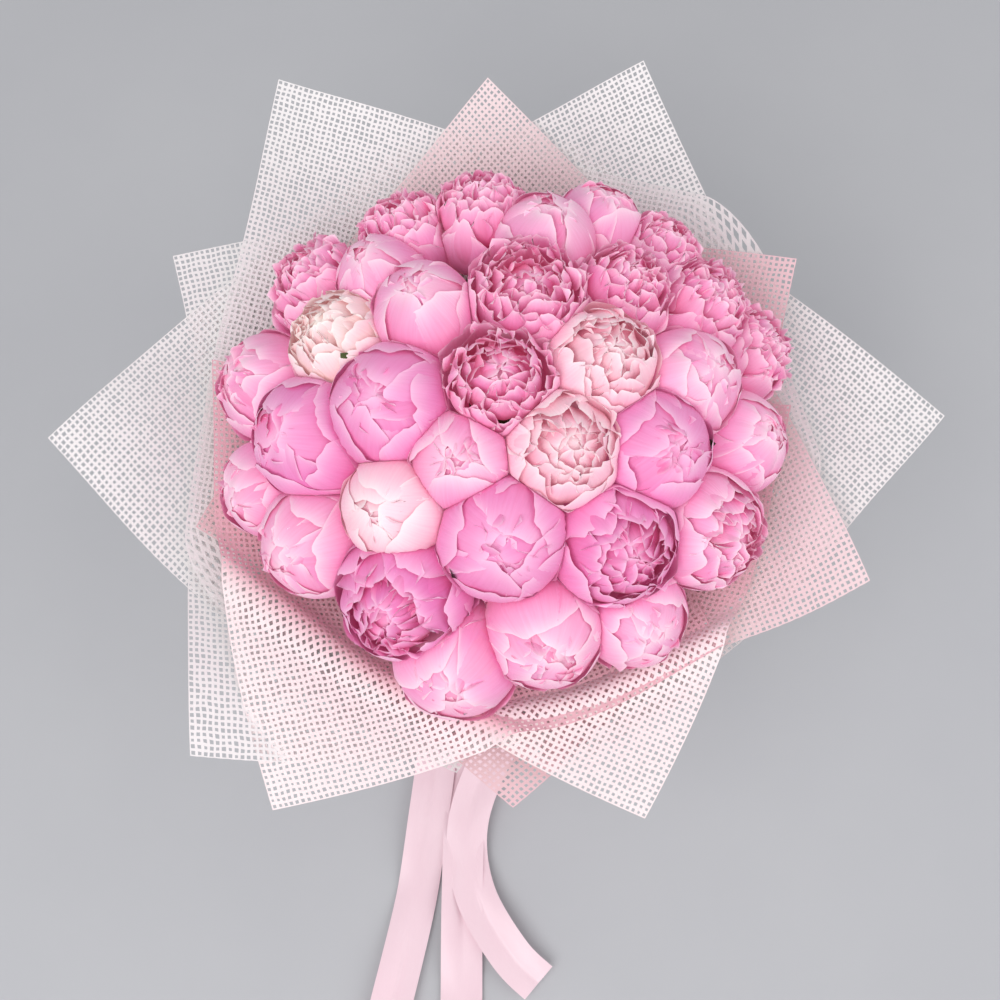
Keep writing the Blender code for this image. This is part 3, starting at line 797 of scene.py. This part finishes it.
def buildHead(node, frames, seed):
    _, form, tint = headLooks[node]
    finish = "peony_" + tint
    centre, axis, radius = frames[node]
    turnTo = np.array(axis.to_track_quat("Z", "X").to_matrix())
    points, looks, uvs, faces = petalsOf(random.Random(seed), form)
    points = centre + (points * radius) @ turnTo.T
    others = []
    for other, (otherCentre, _, otherRadius) in frames.items():
        if other != node and np.linalg.norm(otherCentre - centre) < radius + otherRadius:
            others.append((otherCentre, otherRadius))
    points = insideWrap(pressFlat(points, centre, radius, others))
    name = "petals_" + node[-2:]
    piece = meshPiece(name, points, faces, finishes[finish], "petalUv", uvs, looks)
    settle(piece, finish, node)


def buildHeads():
    frames = headFrames()
    for index, node in enumerate(headLooks):
        buildHead(node, frames, dome["seed"] + index)
    return frames


# wrapping sheets

weaveSizes = {
    "pitch": 0.0042,
    "whiteWindow": 0.56,
    "pinkWindow": 0.49,
    "unevenness": 0.11,
    "chanceSeed": 11,
    "fold": 0.247,
    "foldBend": 26.0,
    "foldRoll": 0.007,
    "rollBelow": 0.004,
    "rollWidth": 0.012,
    "drift": 0.0005,
    "acrossPitches": (310, 47, 130),
    "alongPitches": (290, 53, 140),
    "cross": 0.0004,
    "gatherEnd": 0.11,
    "gatherWidth": 0.104,
    "rippleSpan": (0.10, 0.36),
    "ripple": 0.0045,
    "ripples": 9,
    "rippleTurn": 0.6,
    "cornerReach": 0.11,
    "cornerWave": 0.008,
    "cornerPitch": 26,
    "leastArea": 0.31,
    "seed": 5,
}

# each sheet's turn, reach of its point, side and finish, from the innermost out
sheetLooks = {
    "wrap_front_left": (-119, 0.366, 0.33, "lapel_mesh"),
    "wrap_front_right": (-72, 0.342, 0.32, "lapel_mesh"),
    "wrap_pink_right": (26, 0.3, 0.3, "pink_mesh"),
    "wrap_pink_back": (93, 0.325, 0.33, "blush_mesh"),
    "wrap_pink_left": (202, 0.275, 0.31, "pink_mesh"),
    "wrap_low_right": (-28, 0.327, 0.32, "blush_mesh"),
    "wrap_rear_left": (125, 0.37, 0.4, "white_mesh"),
    "wrap_rear_right": (68, 0.355, 0.37, "white_mesh"),
    "wrap_front_low": (-89, 0.31, 0.29, "pink_mesh"),
    "wrap_low_left": (-130, 0.365, 0.35, "white_mesh"),
    "wrap_left": (186, 0.375, 0.37, "white_mesh"),
    "wrap_right": (-2, 0.362, 0.37, "white_mesh"),
    "wrap_back_left": (155, 0.325, 0.33, "white_mesh"),
}


def addStep(tree, kind, values, **settings):
    node = tree.nodes.new(kind)
    for name, setting in settings.items():
        setattr(node, name, setting)
    for socket, value in values.items():
        put(tree, value, node.inputs[socket])
    return node.outputs


def weaveTree():
    inputs = {"Geometry": "Geometry", "Window": "Float", "Unevenness": "Float", "Thread": "Material"}
    tree, given, result = newGroup("openWeave", "GeometryNodeTree", inputs, "Geometry", "Geometry")
    values = {"Mesh": given["Geometry"], "Offset Scale": 0.0, "Individual": True}
    raised = addStep(tree, "GeometryNodeExtrudeMesh", values, mode="FACES")
    least, most = (maths(tree, way, given["Window"], given["Unevenness"]) for way in ("SUBTRACT", "ADD"))
    values = {2: least, 3: most, "Seed": weaveSizes["chanceSeed"]}
    chance = addStep(tree, "FunctionNodeRandomValue", values, data_type="FLOAT")
    values = {"Geometry": raised["Mesh"], "Selection": raised["Top"], "Scale": chance[1]}
    shrunk = addStep(tree, "GeometryNodeScaleElements", values, domain="FACE")
    values = {"Geometry": shrunk[0], "Selection": raised["Top"]}
    threads = addStep(tree, "GeometryNodeDeleteGeometry", values, domain="FACE")
    real = addStep(tree, "GeometryNodeRealizeInstances", {0: threads[0]})
    values = {"Geometry": real[0], "Material": given["Thread"]}
    put(tree, addStep(tree, "GeometryNodeSetMaterial", values)[0], result[0])
    return tree


def runTree(piece, tree, values):
    modifier = piece.modifiers.new("weave", "NODES")
    modifier.node_group = tree
    for item in tree.interface.items_tree:
        if item.in_out == "INPUT" and item.name in values:
            modifier[item.identifier] = values[item.name]
    graph = bpy.context.evaluated_depsgraph_get()
    made = bpy.data.meshes.new_from_object(piece.evaluated_get(graph))
    old = piece.data
    piece.modifiers.clear()
    piece.data = made
    bpy.data.meshes.remove(old)


def smoothStep(value, low, high):
    share = np.clip((value - low) / (high - low), 0, 1)
    return share * share * (3 - 2 * share)


def drifted(one, other, layer, pitches):
    long, bent, short = pitches
    sway = np.sin(other * long + 5 * np.sin(one * bent + layer))
    return one + weaveSizes["drift"] * sway * np.sin(one * short)


def sheetPoints(node, layer):
    sizes = weaveSizes
    turn, reach, side, finish = sheetLooks[node]
    dice = random.Random(layer + sizes["seed"])
    lines = np.linspace(0, side, round(side / sizes["pitch"]) + 1)
    p, q = np.meshgrid(lines, lines)
    uvs = np.stack([p, q], -1).reshape(-1, 2)
    p = drifted(p, q, layer, sizes["acrossPitches"])
    q = drifted(q, p, layer, sizes["alongPitches"])
    forward = reach - (p + q) / math.sqrt(2)
    sideways = (p - q) / math.sqrt(2)
    opened = smoothStep(forward, 0.0, sizes["gatherEnd"])
    slant = np.where(forward > 0, np.sqrt(forward ** 2 + opened * sideways ** 2), forward)
    around = opened * np.arctan2(sideways, np.maximum(forward, 1e-6))
    around += (1 - opened) * sideways / sizes["gatherWidth"]
    turns = np.radians(turn) + around * wrapShape["gather"]
    offset = sizes["cross"] * (np.indices(p.shape).sum(0) % 2)
    offset += layer * (wrapShape["layerStep"] + wrapShape["layerSpread"] * np.abs(slant))
    ripple = smoothStep(slant, *sizes["rippleSpan"]) * sizes["ripple"]
    offset += ripple * np.sin(turns * sizes["ripples"] + sizes["rippleTurn"])
    corner = smoothStep(forward, reach - sizes["cornerReach"], reach) * sizes["cornerWave"]
    corner *= np.sin(sideways * sizes["cornerPitch"] + dice.uniform(0, 6.28))
    offset += corner * dice.uniform(0.4, 1)
    if finish != "lapel_mesh":
        return wrapPoints(turns, slant, offset), uvs
    beyond = forward - sizes["fold"]
    offset -= sizes["foldRoll"] * bell(beyond + sizes["rollBelow"], sizes["rollWidth"])
    bend = math.radians(sizes["foldBend"])
    return wrapPoints(turns, slant, offset, np.maximum(beyond, 0), bend), uvs


def buildSheet(node, layer, tree):
    _, _, side, finish = sheetLooks[node]
    points, uvs = sheetPoints(node, layer)
    faces = gridFaces(points.shape[1], points.shape[0])
    thread = finishes[finish]
    piece = meshPiece(node + "_mesh", points.reshape(-1, 3), faces, thread, "threadUv", uvs)
    tint = "white" if finish == "white_mesh" else "pink"
    window = weaveSizes[tint + "Window"]
    unevenness = weaveSizes["unevenness"]
    runTree(piece, tree, {"Window": window, "Unevenness": unevenness, "Thread": thread})
    settle(piece, tint + "_mesh", node)


def buildSheets():
    tree = weaveTree()
    for layer, node in enumerate(sheetLooks):
        buildSheet(node, layer, tree)


# stems

stemSizes = {
    "diameter": 0.0086,
    "overlap": 0.0010,
    "footRadius": 0.095,
    "footShares": (0.30, 0.62),
    "lean": 36.0,
    "centreRing": 5,
    "middleRing": 9,
    "intoHead": 0.96,
    "headPull": 0.3,
    "tiePull": 0.8,
    "thinnest": 0.86,
    "knee": 1.22,
    "sides": 10,
    "upperSteps": 14,
    "lowerSteps": 8,
    "seed": 3,
}

tubeSizes = {"upright": 0.02, "uvScale": 20}


def hermite(start, startWay, end, endWay, share):
    a = 2 * share ** 3 - 3 * share ** 2 + 1
    b = share ** 3 - 2 * share ** 2 + share
    c = -2 * share ** 3 + 3 * share ** 2
    d = share ** 3 - share ** 2
    return start * a + startWay * b + end * c + endWay * d


def stemRoute(frame, waist, waistWay, foot):
    centre, axis, radius = frame
    base = Vector(centre) - axis * radius * stemSizes["intoHead"]
    upper = (waist - base).length
    lower = (foot - waist).length
    down = (foot - waist).normalized()
    headWay = -axis * upper * stemSizes["headPull"]
    tieWay = waistWay * upper * stemSizes["tiePull"]
    route = []
    for step in range(stemSizes["upperSteps"]):
        share = step / stemSizes["upperSteps"]
        route.append(hermite(base, headWay, waist, tieWay, share))
    for step in range(stemSizes["lowerSteps"] + 1):
        share = step / stemSizes["lowerSteps"]
        route.append(hermite(waist, waistWay * lower, foot, down * lower, share))
    return route


def tubeAlong(route, radii, sides, level=False):
    points, uvs = [], []
    length = 0.0
    for index, spot in enumerate(route):
        before = route[max(index - 1, 0)]
        after = route[min(index + 1, len(route) - 1)]
        way = (after - before).normalized()
        across = way.cross(Vector((0, 0, 1)))
        upright = across.length <= tubeSizes["upright"]
        across = Vector((1, 0, 0)) if upright else across.normalized()
        other = way.cross(across).normalized()
        length += (spot - route[index - 1]).length if index else 0.0
        for k in range(sides):
            angle = 2 * math.pi * k / sides
            point = spot + (across * math.cos(angle) + other * math.sin(angle)) * radii[index]
            if level and index == len(route) - 1:
                point -= way * ((point.z - spot.z) / way.z)
            points.append(point)
            uvs.append((k / sides, length * tubeSizes["uvScale"]))
    return points, uvs, cappedFaces(sides, len(route))


def stemRoutes(frames):
    names = sorted(frames, key=lambda name: -frames[name][1].z)
    step = stemSizes["diameter"] - stemSizes["overlap"]
    outer = 3 * step
    spread = stemSizes["footRadius"] - outer
    inner, middle = stemSizes["footShares"]
    centreEnd = 1 + stemSizes["centreRing"]
    middleEnd = centreEnd + stemSizes["middleRing"]
    rings = [
        (names[1:centreEnd], step, step + spread * inner),
        (names[centreEnd:middleEnd], 2 * step, 2 * step + spread * middle),
        (names[middleEnd:], outer, stemSizes["footRadius"]),
    ]
    tie = Vector((0, 0, wrapShape["tie"]))
    routes = [stemRoute(frames[names[0]], tie, Vector((0, 0, -1)), Vector((0, 0, 0)))]
    lean = math.radians(stemSizes["lean"])
    for members, ring, foot in rings:
        turnOf = {name: math.atan2(frames[name][1].y, frames[name][1].x) for name in members}
        members = sorted(members, key=turnOf.get)
        slot = 2 * math.pi / len(members)
        start = sum(turnOf[name] - k * slot for k, name in enumerate(members)) / len(members)
        for k, name in enumerate(members):
            centre, axis, radius = frames[name]
            base = Vector(centre) - axis * radius * stemSizes["intoHead"]
            at = start + k * slot - math.pi / 2 + ring / math.hypot(base.x, base.y)
            waist = Vector((ring * math.cos(at), ring * math.sin(at), wrapShape["tie"]))
            tangent = Vector((math.sin(at), -math.cos(at), 0))
            way = tangent * math.sin(lean) - Vector((0, 0, math.cos(lean)))
            end = waist + tangent * math.sqrt(foot ** 2 - ring ** 2)
            end.z = 0.0
            routes.append(stemRoute(frames[name], waist, way, end))
    return routes


def buildStems(frames):
    dice = random.Random(stemSizes["seed"])
    thinnest = stemSizes["thinnest"]
    points, uvs, faces = [], [], []
    for route in stemRoutes(frames):
        knee = dice.randrange(4, len(route) - 3)
        radii = []
        for index in range(len(route)):
            share = thinnest + (1 - thinnest) * index / len(route)
            thick = stemSizes["diameter"] / 2 * share
            radii.append(thick * (stemSizes["knee"] if index == knee else 1.0))
        some, uv, quads = tubeAlong(route, radii, stemSizes["sides"], level=True)
        faces += facesFrom(len(points), quads)
        points += some
        uvs += uv
    piece = meshPiece("cut_stems", points, faces, finishes["stem"], "leafUv", uvs)
    settle(piece, "stem", "stems")


# string

twine = {
    "turns": 6,
    "thick": 0.0022,
    "reach": 0.0298,
    "height": 0.0115,
    "steps": 40,
    "sides": 8,
}


def buildString():
    total = twine["turns"] * twine["steps"]
    reach = twine["reach"]
    route = []
    for step in range(total + 1):
        turn = 2 * math.pi * step / twine["steps"]
        height = wrapShape["tie"] + (step / total - 0.5) * twine["height"]
        route.append(Vector((reach * math.cos(turn), reach * math.sin(turn), height)))
    points, uvs, faces = tubeAlong(route, [twine["thick"] / 2] * len(route), twine["sides"])
    piece = meshPiece("tying_string", points, faces, finishes["string"], "twineUv", uvs)
    settle(piece, "string", "string")


# leaves

leafSizes = {
    "length": 0.085,
    "width": 0.032,
    "grid": (9, 18),
    "outline": (0.8, 0.85),
    "stalk": 0.0012,
    "fold": 0.18,
    "edgeWave": 0.0009,
    "edgePitch": 22,
    "inset": 0.004,
    "tieRadius": 0.035,
}

wrapLeaves = {
    "leaf_left": (158, 0.095),
    "leaf_right": (8, 0.095),
    "leaf_front": (-92, 0.100),
    "leaf_rear": (84, 0.090),
}


def leafShape(length, width):
    sizes = leafSizes
    columns, rows = sizes["grid"]
    u, t = np.meshgrid(np.linspace(-1, 1, columns), np.linspace(0, 1, rows))
    widest, blunt = sizes["outline"]
    half = width / 2 * np.sin(np.pi * t ** widest) ** blunt + sizes["stalk"] * (1 - t)
    across = u * half
    lift = sizes["fold"] * np.abs(across)
    lift += sizes["edgeWave"] * np.sin(t * sizes["edgePitch"]) * np.abs(u)
    return across, t * length, lift, np.stack([u * 0.5 + 0.5, t], -1).reshape(-1, 2)


def leafPiece(name, points, uvs, *nodes):
    quads = gridFaces(*leafSizes["grid"])
    faces = []
    for start in range(0, len(points), len(uvs[0])):
        faces += facesFrom(start, quads)
    piece = meshPiece(name, points, faces, finishes["leaf"], "leafUv", np.concatenate(uvs))
    settle(piece, "leaf", *nodes)


def buildWrapLeaf(node, turn, start):
    across, along, lift, uvs = leafShape(leafSizes["length"], leafSizes["width"])
    slant = start + along
    past = slant - wrapShape["waist"] / 2
    turns = math.radians(turn) + across / (leafSizes["tieRadius"] + past * wrapShape["widening"])
    points = wrapPoints(turns, slant, -leafSizes["inset"] - lift).reshape(-1, 3)
    leafPiece(node + "_blade", points, [uvs], node)


# leaf tips that peep out between two heads, with how far they stand up
leafTips = [
    ("peony_11", "peony_07", 0.92),
    ("peony_26", "peony_19", 1.00),
    ("peony_01", "peony_06", 0.90),
    ("peony_03", "peony_17", 0.90),
    ("peony_15", "peony_24", 0.93),
    ("peony_13", "peony_25", 0.88),
]

tipSizes = {"length": 0.07, "width": 0.026, "rise": 0.84, "curl": 0.0072, "seed": 6}

collar = {
    "count": 46,
    "length": 0.10,
    "width": 0.040,
    "scales": (0.8, 1.1),
    "start": 0.16,
    "startSpread": 0.02,
    "frontFrom": -0.3,
    "frontShare": 0.86,
    "root": 0.05,
    "turnSpread": 0.06,
    "twist": 0.3,
    "inset": 0.006,
    "insetSpread": 0.03,
    "rootInset": 0.02,
    "seed": 9,
}


def buildLeafTips(frames):
    dice = random.Random(tipSizes["seed"])
    size = tipSizes["length"]
    across, along, lift, uv = leafShape(size, tipSizes["width"])
    points = []
    for first, second, rise in leafTips:
        one, two = Vector(frames[first][0]), Vector(frames[second][0])
        out = (frames[first][1] + frames[second][1]).normalized()
        between = (two - one).normalized()
        flat = between.cross(out).normalized()
        radius = (frames[first][2] + frames[second][2]) / 2
        tip = (one + two) / 2 + out * radius * rise * tipSizes["rise"]
        side = between * dice.choice((-1, 1))
        for a, l, h in zip(across.ravel(), along.ravel(), lift.ravel()):
            curl = tipSizes["curl"] * (l / size) ** 3
            points.append(tip - out * (size - l) + flat * a + side * (h + curl))
    leafPiece("leaf_tips", points, [uv] * len(leafTips))


def buildCollar():
    dice = random.Random(collar["seed"])
    points, uvs = [], []
    for leaf in range(collar["count"]):
        spread, twist = collar["turnSpread"], collar["twist"]
        turn = 2 * math.pi * leaf / collar["count"] + dice.uniform(-spread, spread)
        length = collar["length"] * dice.uniform(*collar["scales"])
        width = collar["width"] * dice.uniform(*collar["scales"])
        across, along, lift, uv = leafShape(length, width)
        front = math.sin(turn) < collar["frontFrom"]
        start = collar["start"] * (collar["frontShare"] if front else 1.0)
        start -= collar["startSpread"] * dice.random()
        slant = start - collar["root"] + along
        inward = collar["inset"] + collar["insetSpread"] * dice.random()
        inward = inward + collar["rootInset"] * (1 - along / length)
        turns = turn + dice.uniform(-twist, twist) * (along / length)
        turns += across / (leafSizes["tieRadius"] + slant * wrapShape["widening"])
        points.append(wrapPoints(turns, slant, -inward - lift).reshape(-1, 3))
        uvs.append(uv)
    leafPiece("leaf_collar", np.concatenate(points), uvs)


def buildLeaves(frames):
    for node, (turn, start) in wrapLeaves.items():
        buildWrapLeaf(node, turn, start)
    buildLeafTips(frames)
    buildCollar()


# ribbon

ribbonSizes = {
    "width": 0.038,
    "columns": 17,
    "steps": 8,
    "flatFrom": 0.86,
    "pleats": 4,
    "pleatSlope": 1.35,
    "flatSlope": 0.35,
    "rollPitch": 17,
    "swayPitch": 45,
    "swayStep": 0.3,
    "sway": 0.0012,
    "uvScale": 26,
    "restHeight": 0.0022,
    "tailLift": 0.5,
    "loopSpread": 1.4,
}

# sideways, forward of the knot, share of the fall, share of the width that is spread
tailRoutes = {
    "ribbon_tail_left": [
        (-0.009, 0.001, 0.0, 0.2),
        (-0.021, 0.008, 0.25, 0.6),
        (-0.037, 0.026, 0.62, 0.9),
        (-0.05, 0.06, 0.93, 0.9),
        (-0.06, 0.11, 1.0, 0.9),
        (-0.068, 0.175, 1.0, 0.9),
        (-0.08, 0.26, 1.0, 0.9),
        (-0.1, 0.35, 1.0, 0.9),
        (-0.114, 0.4, 1.0, 0.9),
    ],
    "ribbon_tail_right": [
        (0.001, 0.001, 0.0, 0.2),
        (0.004, 0.01, 0.25, 0.4),
        (-0.001, 0.034, 0.6, 0.7),
        (-0.014, 0.074, 0.9, 0.9),
        (-0.028, 0.125, 0.98, 0.9),
        (-0.036, 0.185, 0.985, 0.9),
        (-0.038, 0.26, 0.99, 0.9),
        (-0.038, 0.35, 1.0, 0.9),
        (-0.038, 0.405, 1.0, 0.9),
    ],
    "ribbon_tail_short": [
        (0.011, 0.001, 0.0, 0.2),
        (0.022, 0.014, 0.25, 0.5),
        (0.026, 0.042, 0.56, 0.7),
        (0.01, 0.092, 0.84, 0.9),
        (-0.018, 0.145, 0.94, 0.9),
        (-0.034, 0.2, 0.955, 0.9),
        (-0.026, 0.255, 0.965, 0.9),
        (0.004, 0.305, 0.98, 0.9),
        (0.03, 0.33, 0.99, 0.9),
    ],
}

loopRoute = [
    (0.015, -0.003, -0.001, 0.3),
    (0.032, -0.006, -0.008, 0.5),
    (0.06, -0.006, -0.026, 0.6),
    (0.074, -0.001, -0.04, 0.6),
    (0.062, 0.007, -0.036, 0.6),
    (0.036, 0.006, -0.02, 0.5),
    (0.015, 0.003, -0.006, 0.3),
]


def smoothRoute(spots, perSpan):
    padded = [np.array(spot, dtype=float) for spot in (spots[0], *spots, spots[-1])]
    route = []
    for a, b, c, d in zip(padded, padded[1:], padded[2:], padded[3:]):
        square = 2 * a - 5 * b + 4 * c - d
        cube = 3 * b - a - 3 * c + d
        for step in range(perSpan):
            s = step / perSpan
            route.append(0.5 * (2 * b + (c - a) * s + square * s ** 2 + cube * s ** 3))
    route.append(padded[-1])
    return route


def ribbonSection(spread):
    sizes = ribbonSizes
    spans = sizes["columns"] - 1
    step = sizes["width"] / spans
    pleat = math.acos(spread) if spread < sizes["flatFrom"] else 0.0
    across, high = [0.0], [0.0]
    for column in range(spans):
        turn = (column + 0.5) / spans * math.pi
        if pleat:
            slope = sizes["pleatSlope"] * pleat * math.sin(turn * sizes["pleats"])
        else:
            slope = sizes["flatSlope"] * math.cos(turn)
        across.append(across[-1] + step * math.cos(slope))
        high.append(high[-1] + step * math.sin(slope))
    middle = (across[0] + across[-1]) / 2
    return [(a - middle, h) for a, h in zip(across, high)]


def ribbonAlong(node, spots, phase, acrossHint=(1, 0, 0), lift=0.0):
    sizes = ribbonSizes
    route = smoothRoute(spots, sizes["steps"])
    columns, width = sizes["columns"], sizes["width"]
    hint = Vector(acrossHint)
    points, uvs = [], []
    length = 0.0
    for index, spot in enumerate(route):
        here = Vector(spot[:3])
        before = Vector(route[max(index - 1, 0)][:3])
        after = Vector(route[min(index + 1, len(route) - 1)][:3])
        way = (after - before).normalized()
        across = (hint - way * hint.dot(way)).normalized()
        up = across.cross(way).normalized()
        if up.z < 0:
            up = -up
        length += (here - before).length
        roll = lift * math.sin(length * sizes["rollPitch"] + phase)
        for column, (a, high) in enumerate(ribbonSection(spot[3])):
            tilt = roll * (column / (columns - 1) - 0.5) * width
            turn = length * sizes["swayPitch"] + column * sizes["swayStep"] + phase
            sway = sizes["sway"] * lift * math.sin(turn)
            points.append(here + across * a + up * (high + abs(tilt) + sway))
            uvs.append((column / (columns - 1), length * sizes["uvScale"]))
    faces = gridFaces(columns, len(route))
    piece = meshPiece(node + "_satin", points, faces, finishes["ribbon"], "ribbonUv", uvs)
    settle(piece, "ribbon", node)


def buildTails():
    low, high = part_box("ribbon_knot")
    top = wrapShape["tie"] - (high.z - low.z) / 2
    drop = ribbonSizes["restHeight"] - top
    for index, (node, route) in enumerate(tailRoutes.items()):
        spots = []
        for x, forward, fall, spread in route:
            spots.append((x, low.y - forward, top + drop * fall, spread))
        ribbonAlong(node, spots, index * 2.0, lift=ribbonSizes["tailLift"])


def buildLoops():
    middle = middleOf("ribbon_knot").y
    tie, wider = wrapShape["tie"], ribbonSizes["loopSpread"]
    for node, way in (("ribbon_loop_left", -1), ("ribbon_loop_right", 1)):
        spots = [(way * x, middle + y, tie + z, wider * share) for x, y, z, share in loopRoute]
        ribbonAlong(node, spots, way, acrossHint=(0.15 * way, 0.35, 1))


bandSizes = {
    "radius": 0.0503,
    "height": 0.016,
    "columns": 9,
    "steps": 96,
    "pleat": 0.0005,
    "pleats": 17,
    "crown": 0.0012,
    "ridge": 0.0009,
    "wave": 0.0006,
    "waves": 5,
    "uvScale": 1.3,
}


def buildBand():
    sizes = bandSizes
    columns, steps = sizes["columns"], sizes["steps"]
    points, uvs, faces = [], [], []
    for step in range(steps):
        turn = 2 * math.pi * step / steps
        pleat = sizes["pleat"] * math.sin(turn * sizes["pleats"])
        wave = sizes["wave"] * math.sin(turn * sizes["waves"])
        for column in range(columns):
            share = column / (columns - 1) - 0.5
            radius = sizes["radius"] + sizes["crown"] * math.cos(share * math.pi) + pleat
            radius += sizes["ridge"] * math.cos(column * math.pi)
            height = wrapShape["tie"] + share * sizes["height"] + wave
            points.append((radius * math.cos(turn), radius * math.sin(turn), height))
            uvs.append((share, turn * sizes["uvScale"]))
        for here in range(step * columns, (step + 1) * columns - 1):
            there = (here + columns) % (steps * columns)
            faces.append((here, there, there + 1, here + 1))
    piece = meshPiece("ribbon_band_satin", points, faces, finishes["ribbon"], "ribbonUv", uvs)
    settle(piece, "ribbon", "ribbon_band")


knotSizes = {
    "columns": 40,
    "rows": 24,
    "creases": [(0.05, 9, 4), (0.03, 17, -6)],
    "squareness": 4,
    "squash": 0.93,
    "largest": 1.12,
}


def buildKnot():
    sizes = knotSizes
    low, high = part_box("ribbon_knot")
    middle = (low + high) / 2
    half = (high - low) / 2
    columns, rows, power = sizes["columns"], sizes["rows"], sizes["squareness"]
    points, uvs = [], []
    for row in range(rows):
        rise = math.pi * (row + 0.5) / rows - math.pi / 2
        for column in range(columns):
            turn = 2 * math.pi * column / columns
            flat = math.cos(rise)
            way = Vector((flat * math.cos(turn), flat * math.sin(turn), math.sin(rise)))
            size = sum(abs(part) ** power for part in way) ** (-1 / power) * sizes["squash"]
            size = min(size, sizes["largest"])
            crease = 1.0
            for deep, up, along in sizes["creases"]:
                crease += deep * math.sin(way.z * up + way.x * along)
            way *= crease * size
            points.append([middle[k] + half[k] * way[k] for k in range(3)])
            uvs.append((row / rows, column / columns * 3))
    faces = cappedFaces(columns, rows)
    piece = meshPiece("ribbon_knot_satin", points, faces, finishes["ribbon"], "ribbonUv", uvs)
    settle(piece, "ribbon", "ribbon_knot")


floorSizes = {"half": 4.0, "roughness": 0.8, "clouds": (3.0, 4.0)}


def buildFloor():
    mesh = bpy.data.meshes.new("floor")
    half = floorSizes["half"]
    corners = [(half * x, half * y, 0) for x, y in ((-1, -1), (1, -1), (1, 1), (-1, 1))]
    mesh.from_pydata(corners, [], [(0, 1, 2, 3)])
    material, tree, shader = startMaterial("floorPaint", {"Roughness": floorSizes["roughness"]})
    cloudy = cloudsOn(tree, *floorSizes["clouds"])
    colour = blendColour(tree, cloudy, rgb(196, 196, 199), rgb(189, 189, 193))
    put(tree, colour, shader.inputs["Base Color"])
    mesh.materials.append(material)
    floor = bpy.data.objects.new("floor", mesh)
    scene.collection.objects.link(floor)


buildCamera()
buildStudio()
buildFloor()
print("stage: studio")
headPlaces = buildHeads()
print("stage: heads")
buildSheets()
print("stage: wrap")
buildStems(headPlaces)
buildString()
buildLeaves(headPlaces)
print("stage: stems and leaves")
buildTails()
buildLoops()
buildBand()
buildKnot()
print("stage: ribbon")
